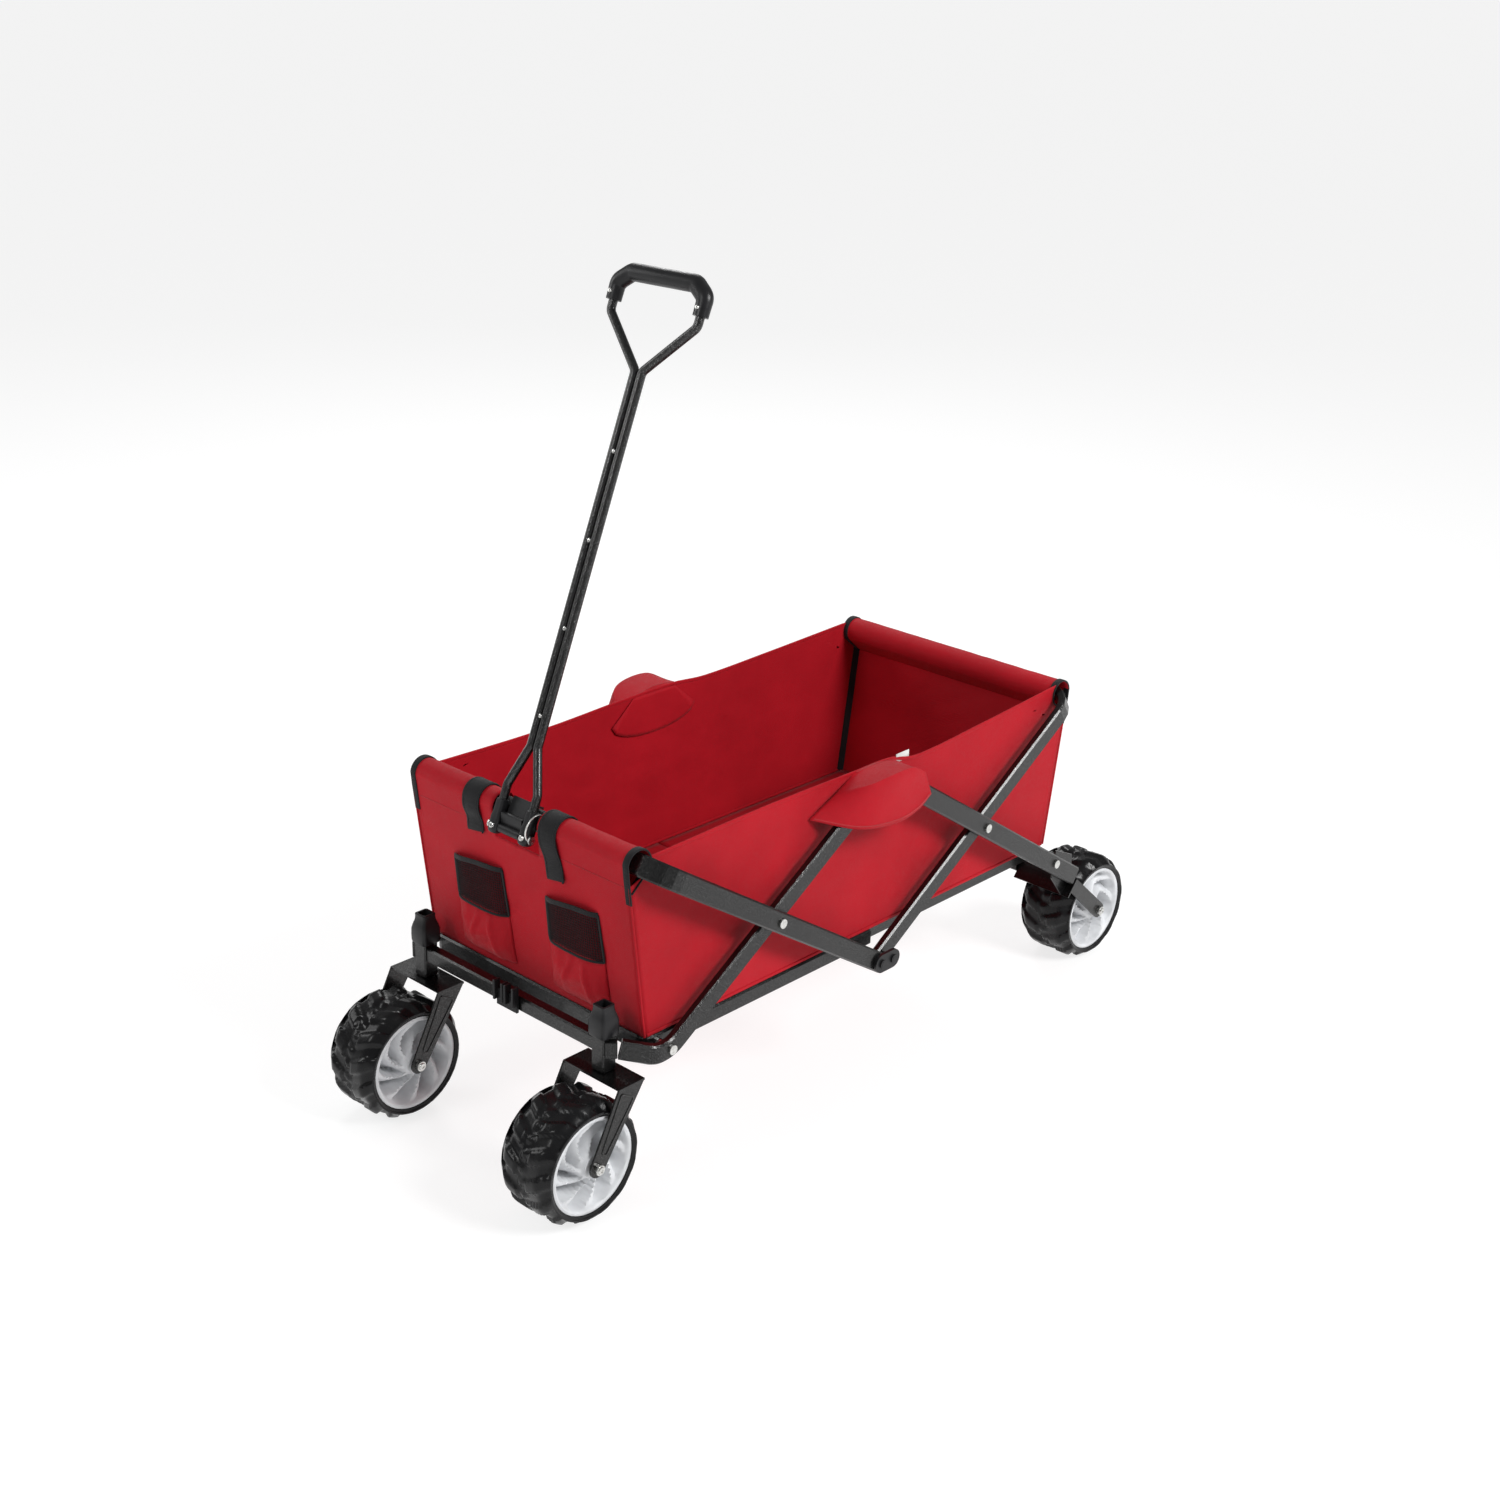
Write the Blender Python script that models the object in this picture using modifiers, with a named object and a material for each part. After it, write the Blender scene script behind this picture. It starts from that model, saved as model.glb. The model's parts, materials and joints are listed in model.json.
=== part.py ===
"""Folding camp wagon: double-scissor steel frame, fabric tub, swivel casters and a swing-up pull handle.

Metres, +Z up. +X points to the rear of the wagon, -X to the pull handle, -Y to the wagon's left side.
The origin is on the ground below the middle of the wagon.
"""
from math import acos, atan2, cos, hypot, pi, radians, sin, tan

import bmesh
import bpy
from mathutils import Matrix, Vector

# ---- driving dimensions -------------------------------------------------------------------
CENTRE_X = -0.0078            # middle of the scissor frame, ahead of the middle of the whole wagon
HALF_LENGTH = 0.4626          # top bars, from the middle of the frame
TOP_Z = 0.4898                # top bars
UPPER_Z = 0.4820              # upper centre pivots
LINK_Z = 0.2023               # lower centre pivots
LINK_HALF = 0.0125            # half the distance between the two pivots of a centre link
OUTER_Y = 0.2529              # middle plane of the outer bars
OUTER_SECTION = (0.013, 0.030)
INNER_Y = 0.2394              # middle plane of the inner bars
INNER_SECTION = (0.013, 0.028)
RAIL_SECTION = (0.012, 0.024)
FRONT_RAIL_Y = 0.2130
REAR_RAIL_Y = 0.2000
RAIL_Z = 0.2195
BASE_PIVOT_X = 0.427          # hinge of each base frame, from the middle of the frame
BASE_END_X = 0.445            # end crossbar of each base frame
WALL = 0.0016                 # tube wall
GAP = 0.0003                  # clearance between touching pieces
PIN_R = 0.0040
WHEEL_R = 0.089
TYRE_HALF = 0.047
RIM_R = 0.0703
FORK_HALF = 0.0545            # half width across a fork, outside its legs
PLATE = 0.003                 # thickness of fork and bracket plates
CASTER_X = -0.4927
CASTER_Y = 0.1842
CASTER_TRAIL = 0.061
CASTER_TOP = 0.1913           # top of the caster's plate
POST_SIZE = 0.024
POST_TOP = 0.252
SOCKET_TOP = 0.2886
CROSSBAR_Z = 0.2286
REAR_AXLE_X = 0.5693
REAR_WHEEL_Y = 0.2049
TUB_Y = 0.2157                # middle of the tub's side walls
TUB_END_X = 0.4445
TUB_FLOOR = 0.2317            # underside of the tub, on the rails
CLOTH = 0.0024
SLEEVE_R = 0.0195
HANDLE_LEAN = radians(21.4)
HANDLE_LENGTH = 0.765
HANDLE_TUBE_R = 0.0062
HANDLE_FOOT_Y = 0.0299
SIDES = (("left", -1), ("right", 1))

# ---- the scissor at rest ------------------------------------------------------------------
REACH = HALF_LENGTH - LINK_HALF
BAR_ANGLE = atan2(TOP_Z - LINK_Z, REACH)
BAR_LENGTH = hypot(REACH, TOP_Z - LINK_Z)
CROSS_Z = (UPPER_Z + LINK_Z) / 2
CROSS_X = LINK_HALF + (CROSS_Z - LINK_Z) / tan(BAR_ANGLE)
DOWN = Vector((cos(BAR_ANGLE), 0, -sin(BAR_ANGLE)))     # along the front outer bar, away from its top
RISE = Vector((sin(BAR_ANGLE), 0, cos(BAR_ANGLE)))      # square to that bar, upwards
BAR_OVERRUN = 0.009

for old in list(bpy.data.objects):
    bpy.data.objects.remove(old, do_unlink=True)
wagon = bpy.data.collections.new("folding_camp_wagon")
guides = bpy.data.collections.new("cutters_and_guides")
for group in (wagon, guides):
    bpy.context.scene.collection.children.link(group)


def material(name, colour, roughness, metallic=0.0):
    made = bpy.data.materials.new(name)
    made.use_nodes = True
    shader = made.node_tree.nodes["Principled BSDF"]
    shader.inputs["Base Color"].default_value = (*colour, 1.0)
    shader.inputs["Roughness"].default_value = roughness
    shader.inputs["Metallic"].default_value = metallic
    return made


STEEL = material("hammertone_steel", (0.045, 0.044, 0.046), 0.35, 0.7)
BLACK = material("black_plastic", (0.012, 0.012, 0.013), 0.45)
ZINC = material("zinc_fastener", (0.62, 0.62, 0.60), 0.3, 1.0)
TYRE = material("black_tyre", (0.010, 0.010, 0.011), 0.3)
RIM = material("grey_rim", (0.62, 0.63, 0.64), 0.4)
RED = material("red_fabric", (0.42, 0.012, 0.022), 0.85)


def at(x, y, z):
    """A point given from the middle of the frame."""
    return Vector((CENTRE_X + x, y, z))


def place(obj, name, finish=None, smooth=False):
    """Name an object and put it among the wagon's parts."""
    obj.name = name
    for group in list(obj.users_collection):
        group.objects.unlink(obj)
    wagon.objects.link(obj)
    if finish:
        obj.data.materials.clear()
        obj.data.materials.append(finish)
    if smooth:
        obj.data.shade_smooth()
        obj.data.set_sharp_from_angle(angle=radians(40))
    return obj


def guide(obj):
    """Keep a cutter or a profile out of the model."""
    for group in list(obj.users_collection):
        group.objects.unlink(obj)
    guides.objects.link(obj)
    obj.hide_render = True
    obj.display_type = "WIRE"
    return obj


def evaluated_mesh(obj):
    """The curve's mesh, with its loose caps welded on."""
    depsgraph = bpy.context.evaluated_depsgraph_get()
    mesh = bpy.data.meshes.new_from_object(obj.evaluated_get(depsgraph))
    bm = bmesh.new()
    bm.from_mesh(mesh)
    bmesh.ops.remove_doubles(bm, verts=bm.verts, dist=0.00001)
    bmesh.ops.recalc_face_normals(bm, faces=bm.faces)
    bm.to_mesh(mesh)
    bm.free()
    return mesh


def curve_to_mesh(curve_object):
    mesh = evaluated_mesh(curve_object)
    result = bpy.data.objects.new(curve_object.name + "_mesh", mesh)
    result.matrix_world = curve_object.matrix_world
    bpy.context.scene.collection.objects.link(result)
    bpy.data.objects.remove(curve_object, do_unlink=True)
    return result


def set_origin(obj, point):
    """Move an object's origin to a joint axis without moving its shape."""
    shift = obj.matrix_world.inverted() @ Vector(point)
    obj.data.transform(Matrix.Translation(-shift))
    obj.matrix_world = obj.matrix_world @ Matrix.Translation(shift)


def rounded_path(points, radii, steps=5):
    """Straight runs joined by arcs, of one radius or one radius a corner."""
    points = [Vector(p) for p in points]
    if isinstance(radii, float):
        radii = [radii] * (len(points) - 2)
    path = [points[0]]
    for before, corner, after, radius in zip(points, points[1:], points[2:], radii):
        a = (before - corner).normalized()
        b = (after - corner).normalized()
        half = a.angle(b) / 2
        reach = radius / tan(half)
        centre = corner + (a + b).normalized() * (radius / sin(half))
        first = corner + a * reach - centre
        last = corner + b * reach - centre
        turn = first.angle(last)
        for i in range(steps + 1):
            t = i / steps
            arm = (first * sin((1 - t) * turn) + last * sin(t * turn)) / sin(turn)
            path.append(centre + arm)
    path.append(points[-1])
    return path


def path_curve(name, path, closed=False):
    data = bpy.data.curves.new(name, "CURVE")
    data.dimensions = "3D"
    spline = data.splines.new("POLY")
    spline.points.add(len(path) - 1)
    for point, co in zip(spline.points, path):
        point.co = (*co, 1.0)
    spline.use_cyclic_u = closed
    obj = bpy.data.objects.new(name, data)
    bpy.context.scene.collection.objects.link(obj)
    return obj


def section_profile(width, height, corner=0.0025, steps=1):
    """A rounded rectangle, as the profile of a tube."""
    path = []
    for quarter in range(4):
        sx, sy = ((1, 1), (-1, 1), (-1, -1), (1, -1))[quarter]
        cx, cy = sx * (width / 2 - corner), sy * (height / 2 - corner)
        for i in range(steps + 1):
            turn = (quarter + i / steps) * pi / 2
            path.append((cx + corner * cos(turn), cy + corner * sin(turn), 0))
    profile = guide(path_curve("tube_profile", path, closed=True))
    profile.data.dimensions = "2D"
    profile.data.fill_mode = "NONE"
    return profile


def tube(name, path, section, frame=None, wall=WALL):
    """A rectangular tube, open at its ends. Its section's height stays along the frame's Z."""
    obj = path_curve(name, path)
    obj.data.twist_mode = "Z_UP"
    obj.data.bevel_mode = "OBJECT"
    obj.data.bevel_object = section_profile(*section)
    obj.data.use_fill_caps = False
    if frame:
        obj.matrix_world = frame
    bpy.context.view_layer.update()
    obj = curve_to_mesh(obj)
    shell = obj.modifiers.new("wall", "SOLIDIFY")
    shell.thickness = wall
    shell.offset = -1
    return place(obj, name, STEEL)


def wire(name, path, radius, finish, sides=3):
    """A round bar with flat ends."""
    obj = path_curve(name, path)
    obj.data.bevel_depth = radius
    obj.data.bevel_resolution = sides
    obj.data.use_fill_caps = True
    obj = place(curve_to_mesh(obj), name, finish, smooth=True)
    return obj


def outline_plate(name, outline, thickness, frame):
    """A flat plate from its outline in the frame's XY plane."""
    data = bpy.data.curves.new(name, "CURVE")
    data.dimensions = "2D"
    data.fill_mode = "BOTH"
    data.extrude = thickness / 2
    spline = data.splines.new("POLY")
    spline.points.add(len(outline) - 1)
    for point, (x, y) in zip(spline.points, outline):
        point.co = (x, y, 0, 1.0)
    spline.use_cyclic_u = True
    obj = bpy.data.objects.new(name, data)
    bpy.context.scene.collection.objects.link(obj)
    obj.matrix_world = frame
    bpy.context.view_layer.update()
    return curve_to_mesh(obj)


def side_frame(y):
    """Frame whose X and Y run along the wagon and up, at a distance across it."""
    return Matrix.Translation((CENTRE_X, y, 0)) @ Matrix.Rotation(pi / 2, 4, "X")


def box(name, size, location, rotation=None, edge=0.0):
    bm = bmesh.new()
    bmesh.ops.create_cube(bm, size=1.0)
    bmesh.ops.scale(bm, vec=size, verts=bm.verts)
    mesh = bpy.data.meshes.new(name)
    bm.to_mesh(mesh)
    bm.free()
    obj = bpy.data.objects.new(name, mesh)
    bpy.context.scene.collection.objects.link(obj)
    obj.matrix_world = Matrix.Translation(location) @ (rotation or Matrix.Identity(4))
    if edge:
        soften = obj.modifiers.new("edges", "BEVEL")
        soften.width = edge
        soften.segments = 1
    return obj


def cylinder(name, radius, depth, location, axis="Y", sides=12):
    bm = bmesh.new()
    bmesh.ops.create_cone(bm, cap_ends=True, segments=sides, radius1=radius, radius2=radius, depth=depth)
    mesh = bpy.data.meshes.new(name)
    bm.to_mesh(mesh)
    bm.free()
    obj = bpy.data.objects.new(name, mesh)
    bpy.context.scene.collection.objects.link(obj)
    turn = {"X": Matrix.Rotation(pi / 2, 4, "Y"), "Y": Matrix.Rotation(pi / 2, 4, "X"), "Z": Matrix.Identity(4)}
    obj.matrix_world = Matrix.Translation(location) @ turn[axis]
    return obj


def combine(obj, other, operation):
    """Cut one piece with another, or join them."""
    step = obj.modifiers.new(operation.lower(), "BOOLEAN")
    step.operation = operation
    step.solver = "EXACT"
    step.object = guide(other)
    return obj


def drill(obj, point, radius, depth=0.08, axis="Y", sides=12):
    return combine(obj, cylinder("drill", radius, depth, point, axis, sides), "DIFFERENCE")


def turned(name, profile, location, finish, steps=12, side=1):
    """A piece turned about a line across the wagon; the profile is (radius, distance across)."""
    bm = bmesh.new()
    verts = [bm.verts.new((r, 0, h)) for r, h in profile]
    for a, b in zip(verts, verts[1:]):
        bm.edges.new((a, b))
    if profile[0][0] > 0:
        bm.edges.new((verts[-1], verts[0]))
    mesh = bpy.data.meshes.new(name)
    bm.to_mesh(mesh)
    bm.free()
    obj = bpy.data.objects.new(name, mesh)
    bpy.context.scene.collection.objects.link(obj)
    obj.matrix_world = Matrix.Translation(location) @ Matrix.Rotation(side * -pi / 2, 4, "X")
    lathe = obj.modifiers.new("lathe", "SCREW")
    lathe.steps = lathe.render_steps = steps
    lathe.use_merge_vertices = True
    lathe.merge_threshold = 0.00001
    return place(obj, name, finish, smooth=True)


def pin(name, x, z, near, far, side, radius=PIN_R, head=0.007, head_depth=0.003, collar=None):
    """A rivet across the wagon, headed at both ends; the collar is its thicker middle."""
    near_face, far_face = near - GAP, far + GAP
    profile = [(0, far_face + head_depth), (head, far_face + head_depth), (head, far_face), (radius, far_face)]
    if collar:
        low, high, wide = collar
        profile += [(radius, high - GAP), (wide, high - GAP), (wide, low + GAP), (radius, low + GAP)]
    profile += [(radius, near_face), (head, near_face), (head, near_face - head_depth), (0, near_face - head_depth)]
    return turned(name, profile, at(x, 0, z), ZINC, side=side)


# ---- scissor frame ------------------------------------------------------------------------
def edge_of(middle, section):
    """Inner and outer face of a bar across the wagon."""
    return middle - section[0] / 2, middle + section[0] / 2


OUTER_FACES = edge_of(OUTER_Y, OUTER_SECTION)
INNER_FACES = edge_of(INNER_Y, INNER_SECTION)
FRONT_RAIL_FACES = edge_of(FRONT_RAIL_Y, RAIL_SECTION)
REAR_RAIL_FACES = edge_of(REAR_RAIL_Y, RAIL_SECTION)
HOLE_R = PIN_R + GAP


def top_frame(name, direction, middle, section, bend):
    """The U-shaped tube of one end: its top bar and the two bars that slope down to the centre links."""
    along = Vector((-direction * cos(BAR_ANGLE), 0, -sin(BAR_ANGLE)))
    across = Vector((0, 1, 0))
    normal = along.cross(across)
    if normal.z < 0:
        across, normal = -across, -normal
    frame = Matrix((along, across, normal)).transposed().to_4x4()
    frame.translation = at(direction * HALF_LENGTH, 0, TOP_Z)
    end = BAR_LENGTH + BAR_OVERRUN
    path = rounded_path([(end, middle, 0), (0, middle, 0), (0, -middle, 0), (end, -middle, 0)], bend)
    obj = tube(name, path, section, frame)
    for side in (-1, 1):
        drill(obj, at(direction * CROSS_X, side * middle, CROSS_Z), HOLE_R)
        drill(obj, at(direction * LINK_HALF, side * middle, LINK_Z), HOLE_R)
    set_origin(obj, at(direction * LINK_HALF, 0, LINK_Z))
    return obj


top_frame("front_top_frame", -1, OUTER_Y, OUTER_SECTION, 0.045)
top_frame("rear_top_frame", 1, INNER_Y, INNER_SECTION, 0.040)

bar_start = Vector((-LINK_HALF, 0, UPPER_Z))
bar_down = Vector((-cos(BAR_ANGLE), 0, -sin(BAR_ANGLE)))
TAIL_END_Y = 0.2090
TAIL_END_X = -0.4865
TAIL_END_Z = 0.2290
tail_knee = bar_start + bar_down * ((UPPER_Z - 0.2185) / sin(BAR_ANGLE))
for side_name, side in SIDES:
    across = Vector((0, side * INNER_Y, 0))
    run = [
        bar_start - bar_down * BAR_OVERRUN + across,
        tail_knee + across,
        Vector((-0.4530, side * INNER_Y, 0.2192)),
        Vector((TAIL_END_X, side * TAIL_END_Y, TAIL_END_Z)),
    ]
    path = [p + Vector((CENTRE_X, 0, 0)) for p in rounded_path(run, (0.050, 0.024), 6)]
    lower_bar = tube(f"front_lower_bar_{side_name}", path, INNER_SECTION)
    for x, z in ((-LINK_HALF, UPPER_Z), (-CROSS_X, CROSS_Z), (-BASE_PIVOT_X, RAIL_Z)):
        drill(lower_bar, at(x, side * INNER_Y, z), HOLE_R, 0.04)
    set_origin(lower_bar, at(-CROSS_X, side * INNER_Y, CROSS_Z))

REAR_BAR_END_X = 0.4900
for side_name, side in SIDES:
    across = Vector((0, side * OUTER_Y, 0))
    start = Vector((LINK_HALF, 0, UPPER_Z)) - DOWN * BAR_OVERRUN
    finish_at = Vector((LINK_HALF, 0, UPPER_Z)) + DOWN * ((REAR_BAR_END_X - LINK_HALF) / cos(BAR_ANGLE))
    path = [at(*(start + across)), at(*(start.lerp(finish_at, 0.5) + across)), at(*(finish_at + across))]
    rear_bar = tube(f"rear_lower_bar_{side_name}", path, OUTER_SECTION)
    for x, z in ((LINK_HALF, UPPER_Z), (CROSS_X, CROSS_Z), (BASE_PIVOT_X, RAIL_Z)):
        drill(rear_bar, at(x, side * OUTER_Y, z), HOLE_R, 0.04)
    set_origin(rear_bar, at(CROSS_X, side * OUTER_Y, CROSS_Z))

for side_name, side in SIDES:
    for end_name, end in (("front", -1), ("rear", 1)):
        pin(f"cross_rivet_{end_name}_{side_name}", end * CROSS_X, CROSS_Z, INNER_FACES[0], OUTER_FACES[1], side)
    pin(f"base_rivet_front_{side_name}", -BASE_PIVOT_X, RAIL_Z, FRONT_RAIL_FACES[0], INNER_FACES[1], side,
        collar=(FRONT_RAIL_FACES[1], INNER_FACES[0], 0.0065))
    pin(f"base_rivet_rear_{side_name}", BASE_PIVOT_X, RAIL_Z, REAR_RAIL_FACES[0], OUTER_FACES[1], side,
        collar=(REAR_RAIL_FACES[1], OUTER_FACES[0], 0.0075))


def centre_link(name, side, z, outer_end):
    """A cheek plate with two studs: the short one takes the outer bar, the long one reaches the inner bar."""
    cheek_r, cheek = 0.0145, 0.005
    outline = []
    for end in (1, -1):
        for i in range(13):
            turn = -end * pi / 2 + pi * i / 12
            outline.append((end * LINK_HALF + cheek_r * cos(turn), z + cheek_r * sin(turn)))
    face = OUTER_FACES[1] + GAP
    obj = outline_plate(name, outline, cheek, side_frame(side * (face + cheek / 2)))
    for x, reach in ((outer_end * LINK_HALF, OUTER_FACES[0] + 0.001),
                     (-outer_end * LINK_HALF, INNER_FACES[0] + 0.001)):
        top = face + cheek + 0.003
        combine(obj, cylinder("stud", PIN_R, top - reach, at(x, side * (top + reach) / 2, z)), "UNION")
        combine(obj, cylinder("stud_head", 0.0065, 0.003, at(x, side * (top - 0.0015 - 0.0002), z)), "UNION")
    return place(obj, name, BLACK)


for side_name, side in SIDES:
    centre_link(f"lower_centre_link_{side_name}", side, LINK_Z, -1)
    centre_link(f"upper_centre_link_{side_name}", side, UPPER_Z, 1)

# ---- base frames under the tub -------------------------------------------------------------
MID_OVERRUN = 0.014


def base_frame(name, direction, middle):
    """A U of flat tube: an end crossbar and two rails that reach the middle hinge."""
    ends = [(-direction * MID_OVERRUN, middle), (direction * BASE_END_X, middle)]
    corners = [at(x, y, RAIL_Z) for x, y in ends] + [at(x, -y, RAIL_Z) for x, y in reversed(ends)]
    obj = tube(name, rounded_path(corners, 0.012), RAIL_SECTION)
    for side in (-1, 1):
        drill(obj, at(direction * BASE_PIVOT_X, side * middle, RAIL_Z), HOLE_R, 0.03)
    set_origin(obj, at(direction * BASE_PIVOT_X, 0, RAIL_Z))


base_frame("front_base_frame", -1, FRONT_RAIL_Y)
base_frame("rear_base_frame", 1, REAR_RAIL_Y)

middle_tie = tube("middle_tie_bar", [at(0.010, y, RAIL_Z) for y in (-0.1915, 0, 0.1915)], (0.016, 0.016))
drill(middle_tie, at(0.010, 0.120, RAIL_Z - 0.008), 0.0025, 0.010, "Z", 12)
tab = 0.0035
for side in (-1, 1):
    flank = box("hinge_tab", (0.050, tab, 0.020), at(0.018, side * (REAR_RAIL_FACES[0] - GAP - tab / 2), RAIL_Z),
                edge=0.001)
    combine(middle_tie, flank, "UNION")

# ---- front crossbar, caster posts, pole sockets ----------------------------------------------
carrier_y = CASTER_Y - POST_SIZE / 2 + 0.001
carrier = tube("caster_crossbar", [at(CASTER_X, y, CROSSBAR_Z) for y in (-carrier_y, 0, carrier_y)], (0.018, 0.022))

KINGPIN_R = 0.0078
LUG_ANGLE, LUG_LENGTH = radians(42), 0.016     # the lug that takes the tail of a lower bar
drill(carrier, at(CASTER_X, 0.120, CROSSBAR_Z - 0.011), 0.003, 0.012, "Z", 12)
for side_name, side in SIDES:
    post_low = CASTER_TOP + 0.0005
    post = box("post", (POST_SIZE, POST_SIZE, POST_TOP - post_low),
               at(CASTER_X, side * CASTER_Y, (POST_TOP + post_low) / 2), edge=0.002)
    combine(carrier, post, "UNION")
    lug_turn = Matrix.Rotation(side * LUG_ANGLE, 4, "Z")
    lug_at = at(TAIL_END_X, side * TAIL_END_Y, TAIL_END_Z) + lug_turn @ Vector((-LUG_LENGTH / 2 - 0.0036, 0, 0))
    combine(carrier, box("tail_lug", (LUG_LENGTH, 0.012, 0.024), lug_at, lug_turn, 0.001), "UNION")
    drill(carrier, at(CASTER_X, side * CASTER_Y, POST_TOP), KINGPIN_R + 0.0005, 0.2, "Z", 24)

    low = POST_TOP + GAP
    socket = box(f"pole_socket_{side_name}", (0.027, 0.027, SOCKET_TOP - low),
                 at(CASTER_X, side * CASTER_Y, (SOCKET_TOP + low) / 2), edge=0.004)
    skirt = box("skirt", (0.031, 0.031, 0.026), at(CASTER_X, side * CASTER_Y, 0.2555), edge=0.005)
    combine(socket, skirt, "UNION")
    inner_skirt = box("skirt_hollow", (POST_SIZE + 2 * GAP, POST_SIZE + 2 * GAP, 0.03),
                      at(CASTER_X, side * CASTER_Y, POST_TOP + GAP - 0.015))
    combine(socket, inner_skirt, "DIFFERENCE")
    mouth = box("mouth", (0.017, 0.017, 0.06), at(CASTER_X, side * CASTER_Y, SOCKET_TOP))
    combine(socket, mouth, "DIFFERENCE")
    place(socket, f"pole_socket_{side_name}", BLACK)

# The handle's storage clip: a base against the crossbar's front and two open cradles above it.
CLIP_Y = -0.006
clip_x = CASTER_X - 0.0093
clip_back = box("handle_clip", (0.005, 0.042, 0.026), at(clip_x - 0.0025, CLIP_Y, CROSSBAR_Z), edge=0.001)
for offset in (-0.019, -0.003, 0.003, 0.019):
    prong = box("prong", (0.012, 0.004, 0.030), at(clip_x - 0.006, CLIP_Y + offset, CROSSBAR_Z + 0.012), edge=0.001)
    combine(clip_back, prong, "UNION")
place(clip_back, "handle_clip", BLACK)


# ---- wheels and forks ------------------------------------------------------------------------
def wheel(name, x, y, z):
    """A hollow moulded tyre on a dished rim; both turn on the axle bolt."""
    half = TYRE_HALF
    r_in = RIM_R + GAP
    tyre = [(r_in, half - 0.004), (r_in + 0.004, half), (0.0815, half), (WHEEL_R, half * 0.84),
            (WHEEL_R, -half * 0.84), (0.0815, -half), (r_in + 0.004, -half), (r_in, -half + 0.004),
            (r_in, -half + 0.012), (r_in + 0.006, -half + 0.010), (WHEEL_R - 0.006, -half * 0.78),
            (WHEEL_R - 0.006, half * 0.78), (r_in + 0.006, half - 0.010), (r_in, half - 0.012)]
    turned(f"{name}_tyre", tyre, (x, y, z), TYRE, steps=28)
    bore, hub_r, web = 0.0053, 0.017, 0.014
    rim = [(RIM_R, half - 0.002), (RIM_R, -half + 0.002), (RIM_R - 0.004, -half + 0.002), (RIM_R - 0.008, -web / 2),
           (hub_r, -web / 2), (hub_r - 0.002, -half + 0.001), (bore, -half + 0.001),
           (bore, half - 0.001), (hub_r - 0.002, half - 0.001), (hub_r, web / 2),
           (RIM_R - 0.008, web / 2), (RIM_R - 0.004, half - 0.002)]
    turned(f"{name}_rim", rim, (x, y, z), RIM, steps=28)
    bolt = FORK_HALF + GAP
    shaft = [(0, bolt + 0.005), (0.0075, bolt + 0.005), (0.0075, bolt), (0.005, bolt),
             (0.005, -bolt), (0.0075, -bolt), (0.0075, -bolt - 0.005), (0, -bolt - 0.005)]
    turned(f"{name}_axle_bolt", shaft, (x, y, z), ZINC)


def leg_outline(axle, top_front, top_rear, tip_r):
    """A tapered leg: a round tip at the axle and straight flanks up to its top edge."""
    front = Vector(top_front) - Vector(axle)
    rear = Vector(top_rear) - Vector(axle)
    start = atan2(rear.y, rear.x) - acos(tip_r / rear.length)
    stop = atan2(front.y, front.x) + acos(tip_r / front.length)
    if stop > start:
        stop -= 2 * pi
    tip = []
    for i in range(13):
        turn = start + (stop - start) * i / 12
        tip.append((axle[0] + tip_r * cos(turn), axle[1] + tip_r * sin(turn)))
    return [tuple(top_front), tuple(top_rear)] + tip


AXLE_HOLE_R = 0.0054
for side_name, side in SIDES:
    axle_x, y = CASTER_X - CASTER_TRAIL, side * CASTER_Y
    name = f"caster_fork_{side_name}"
    half_plate = 0.0229
    fork = box(name, (2 * half_plate, 2 * FORK_HALF, PLATE), at(CASTER_X, y, CASTER_TOP - PLATE / 2))
    top = CASTER_TOP - 0.0005
    outline = leg_outline((axle_x, WHEEL_R), (CASTER_X - half_plate, top), (CASTER_X + half_plate, top), 0.013)
    for flank in (-1, 1):
        leg = outline_plate("leg", outline, PLATE, side_frame(y + flank * (FORK_HALF - PLATE / 2)))
        combine(fork, leg, "UNION")
    kingpin = cylinder("kingpin", KINGPIN_R, POST_TOP - CASTER_TOP,
                       at(CASTER_X, y, (POST_TOP + CASTER_TOP) / 2 - 0.001),
                       "Z", 24)
    combine(fork, kingpin, "UNION")
    drill(fork, at(axle_x, y, WHEEL_R), AXLE_HOLE_R, 0.2)
    place(fork, name, STEEL)
    set_origin(fork, at(CASTER_X, y, WHEEL_R))
    wheel(f"front_wheel_{side_name}", CENTRE_X + axle_x, y, WHEEL_R)

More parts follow.
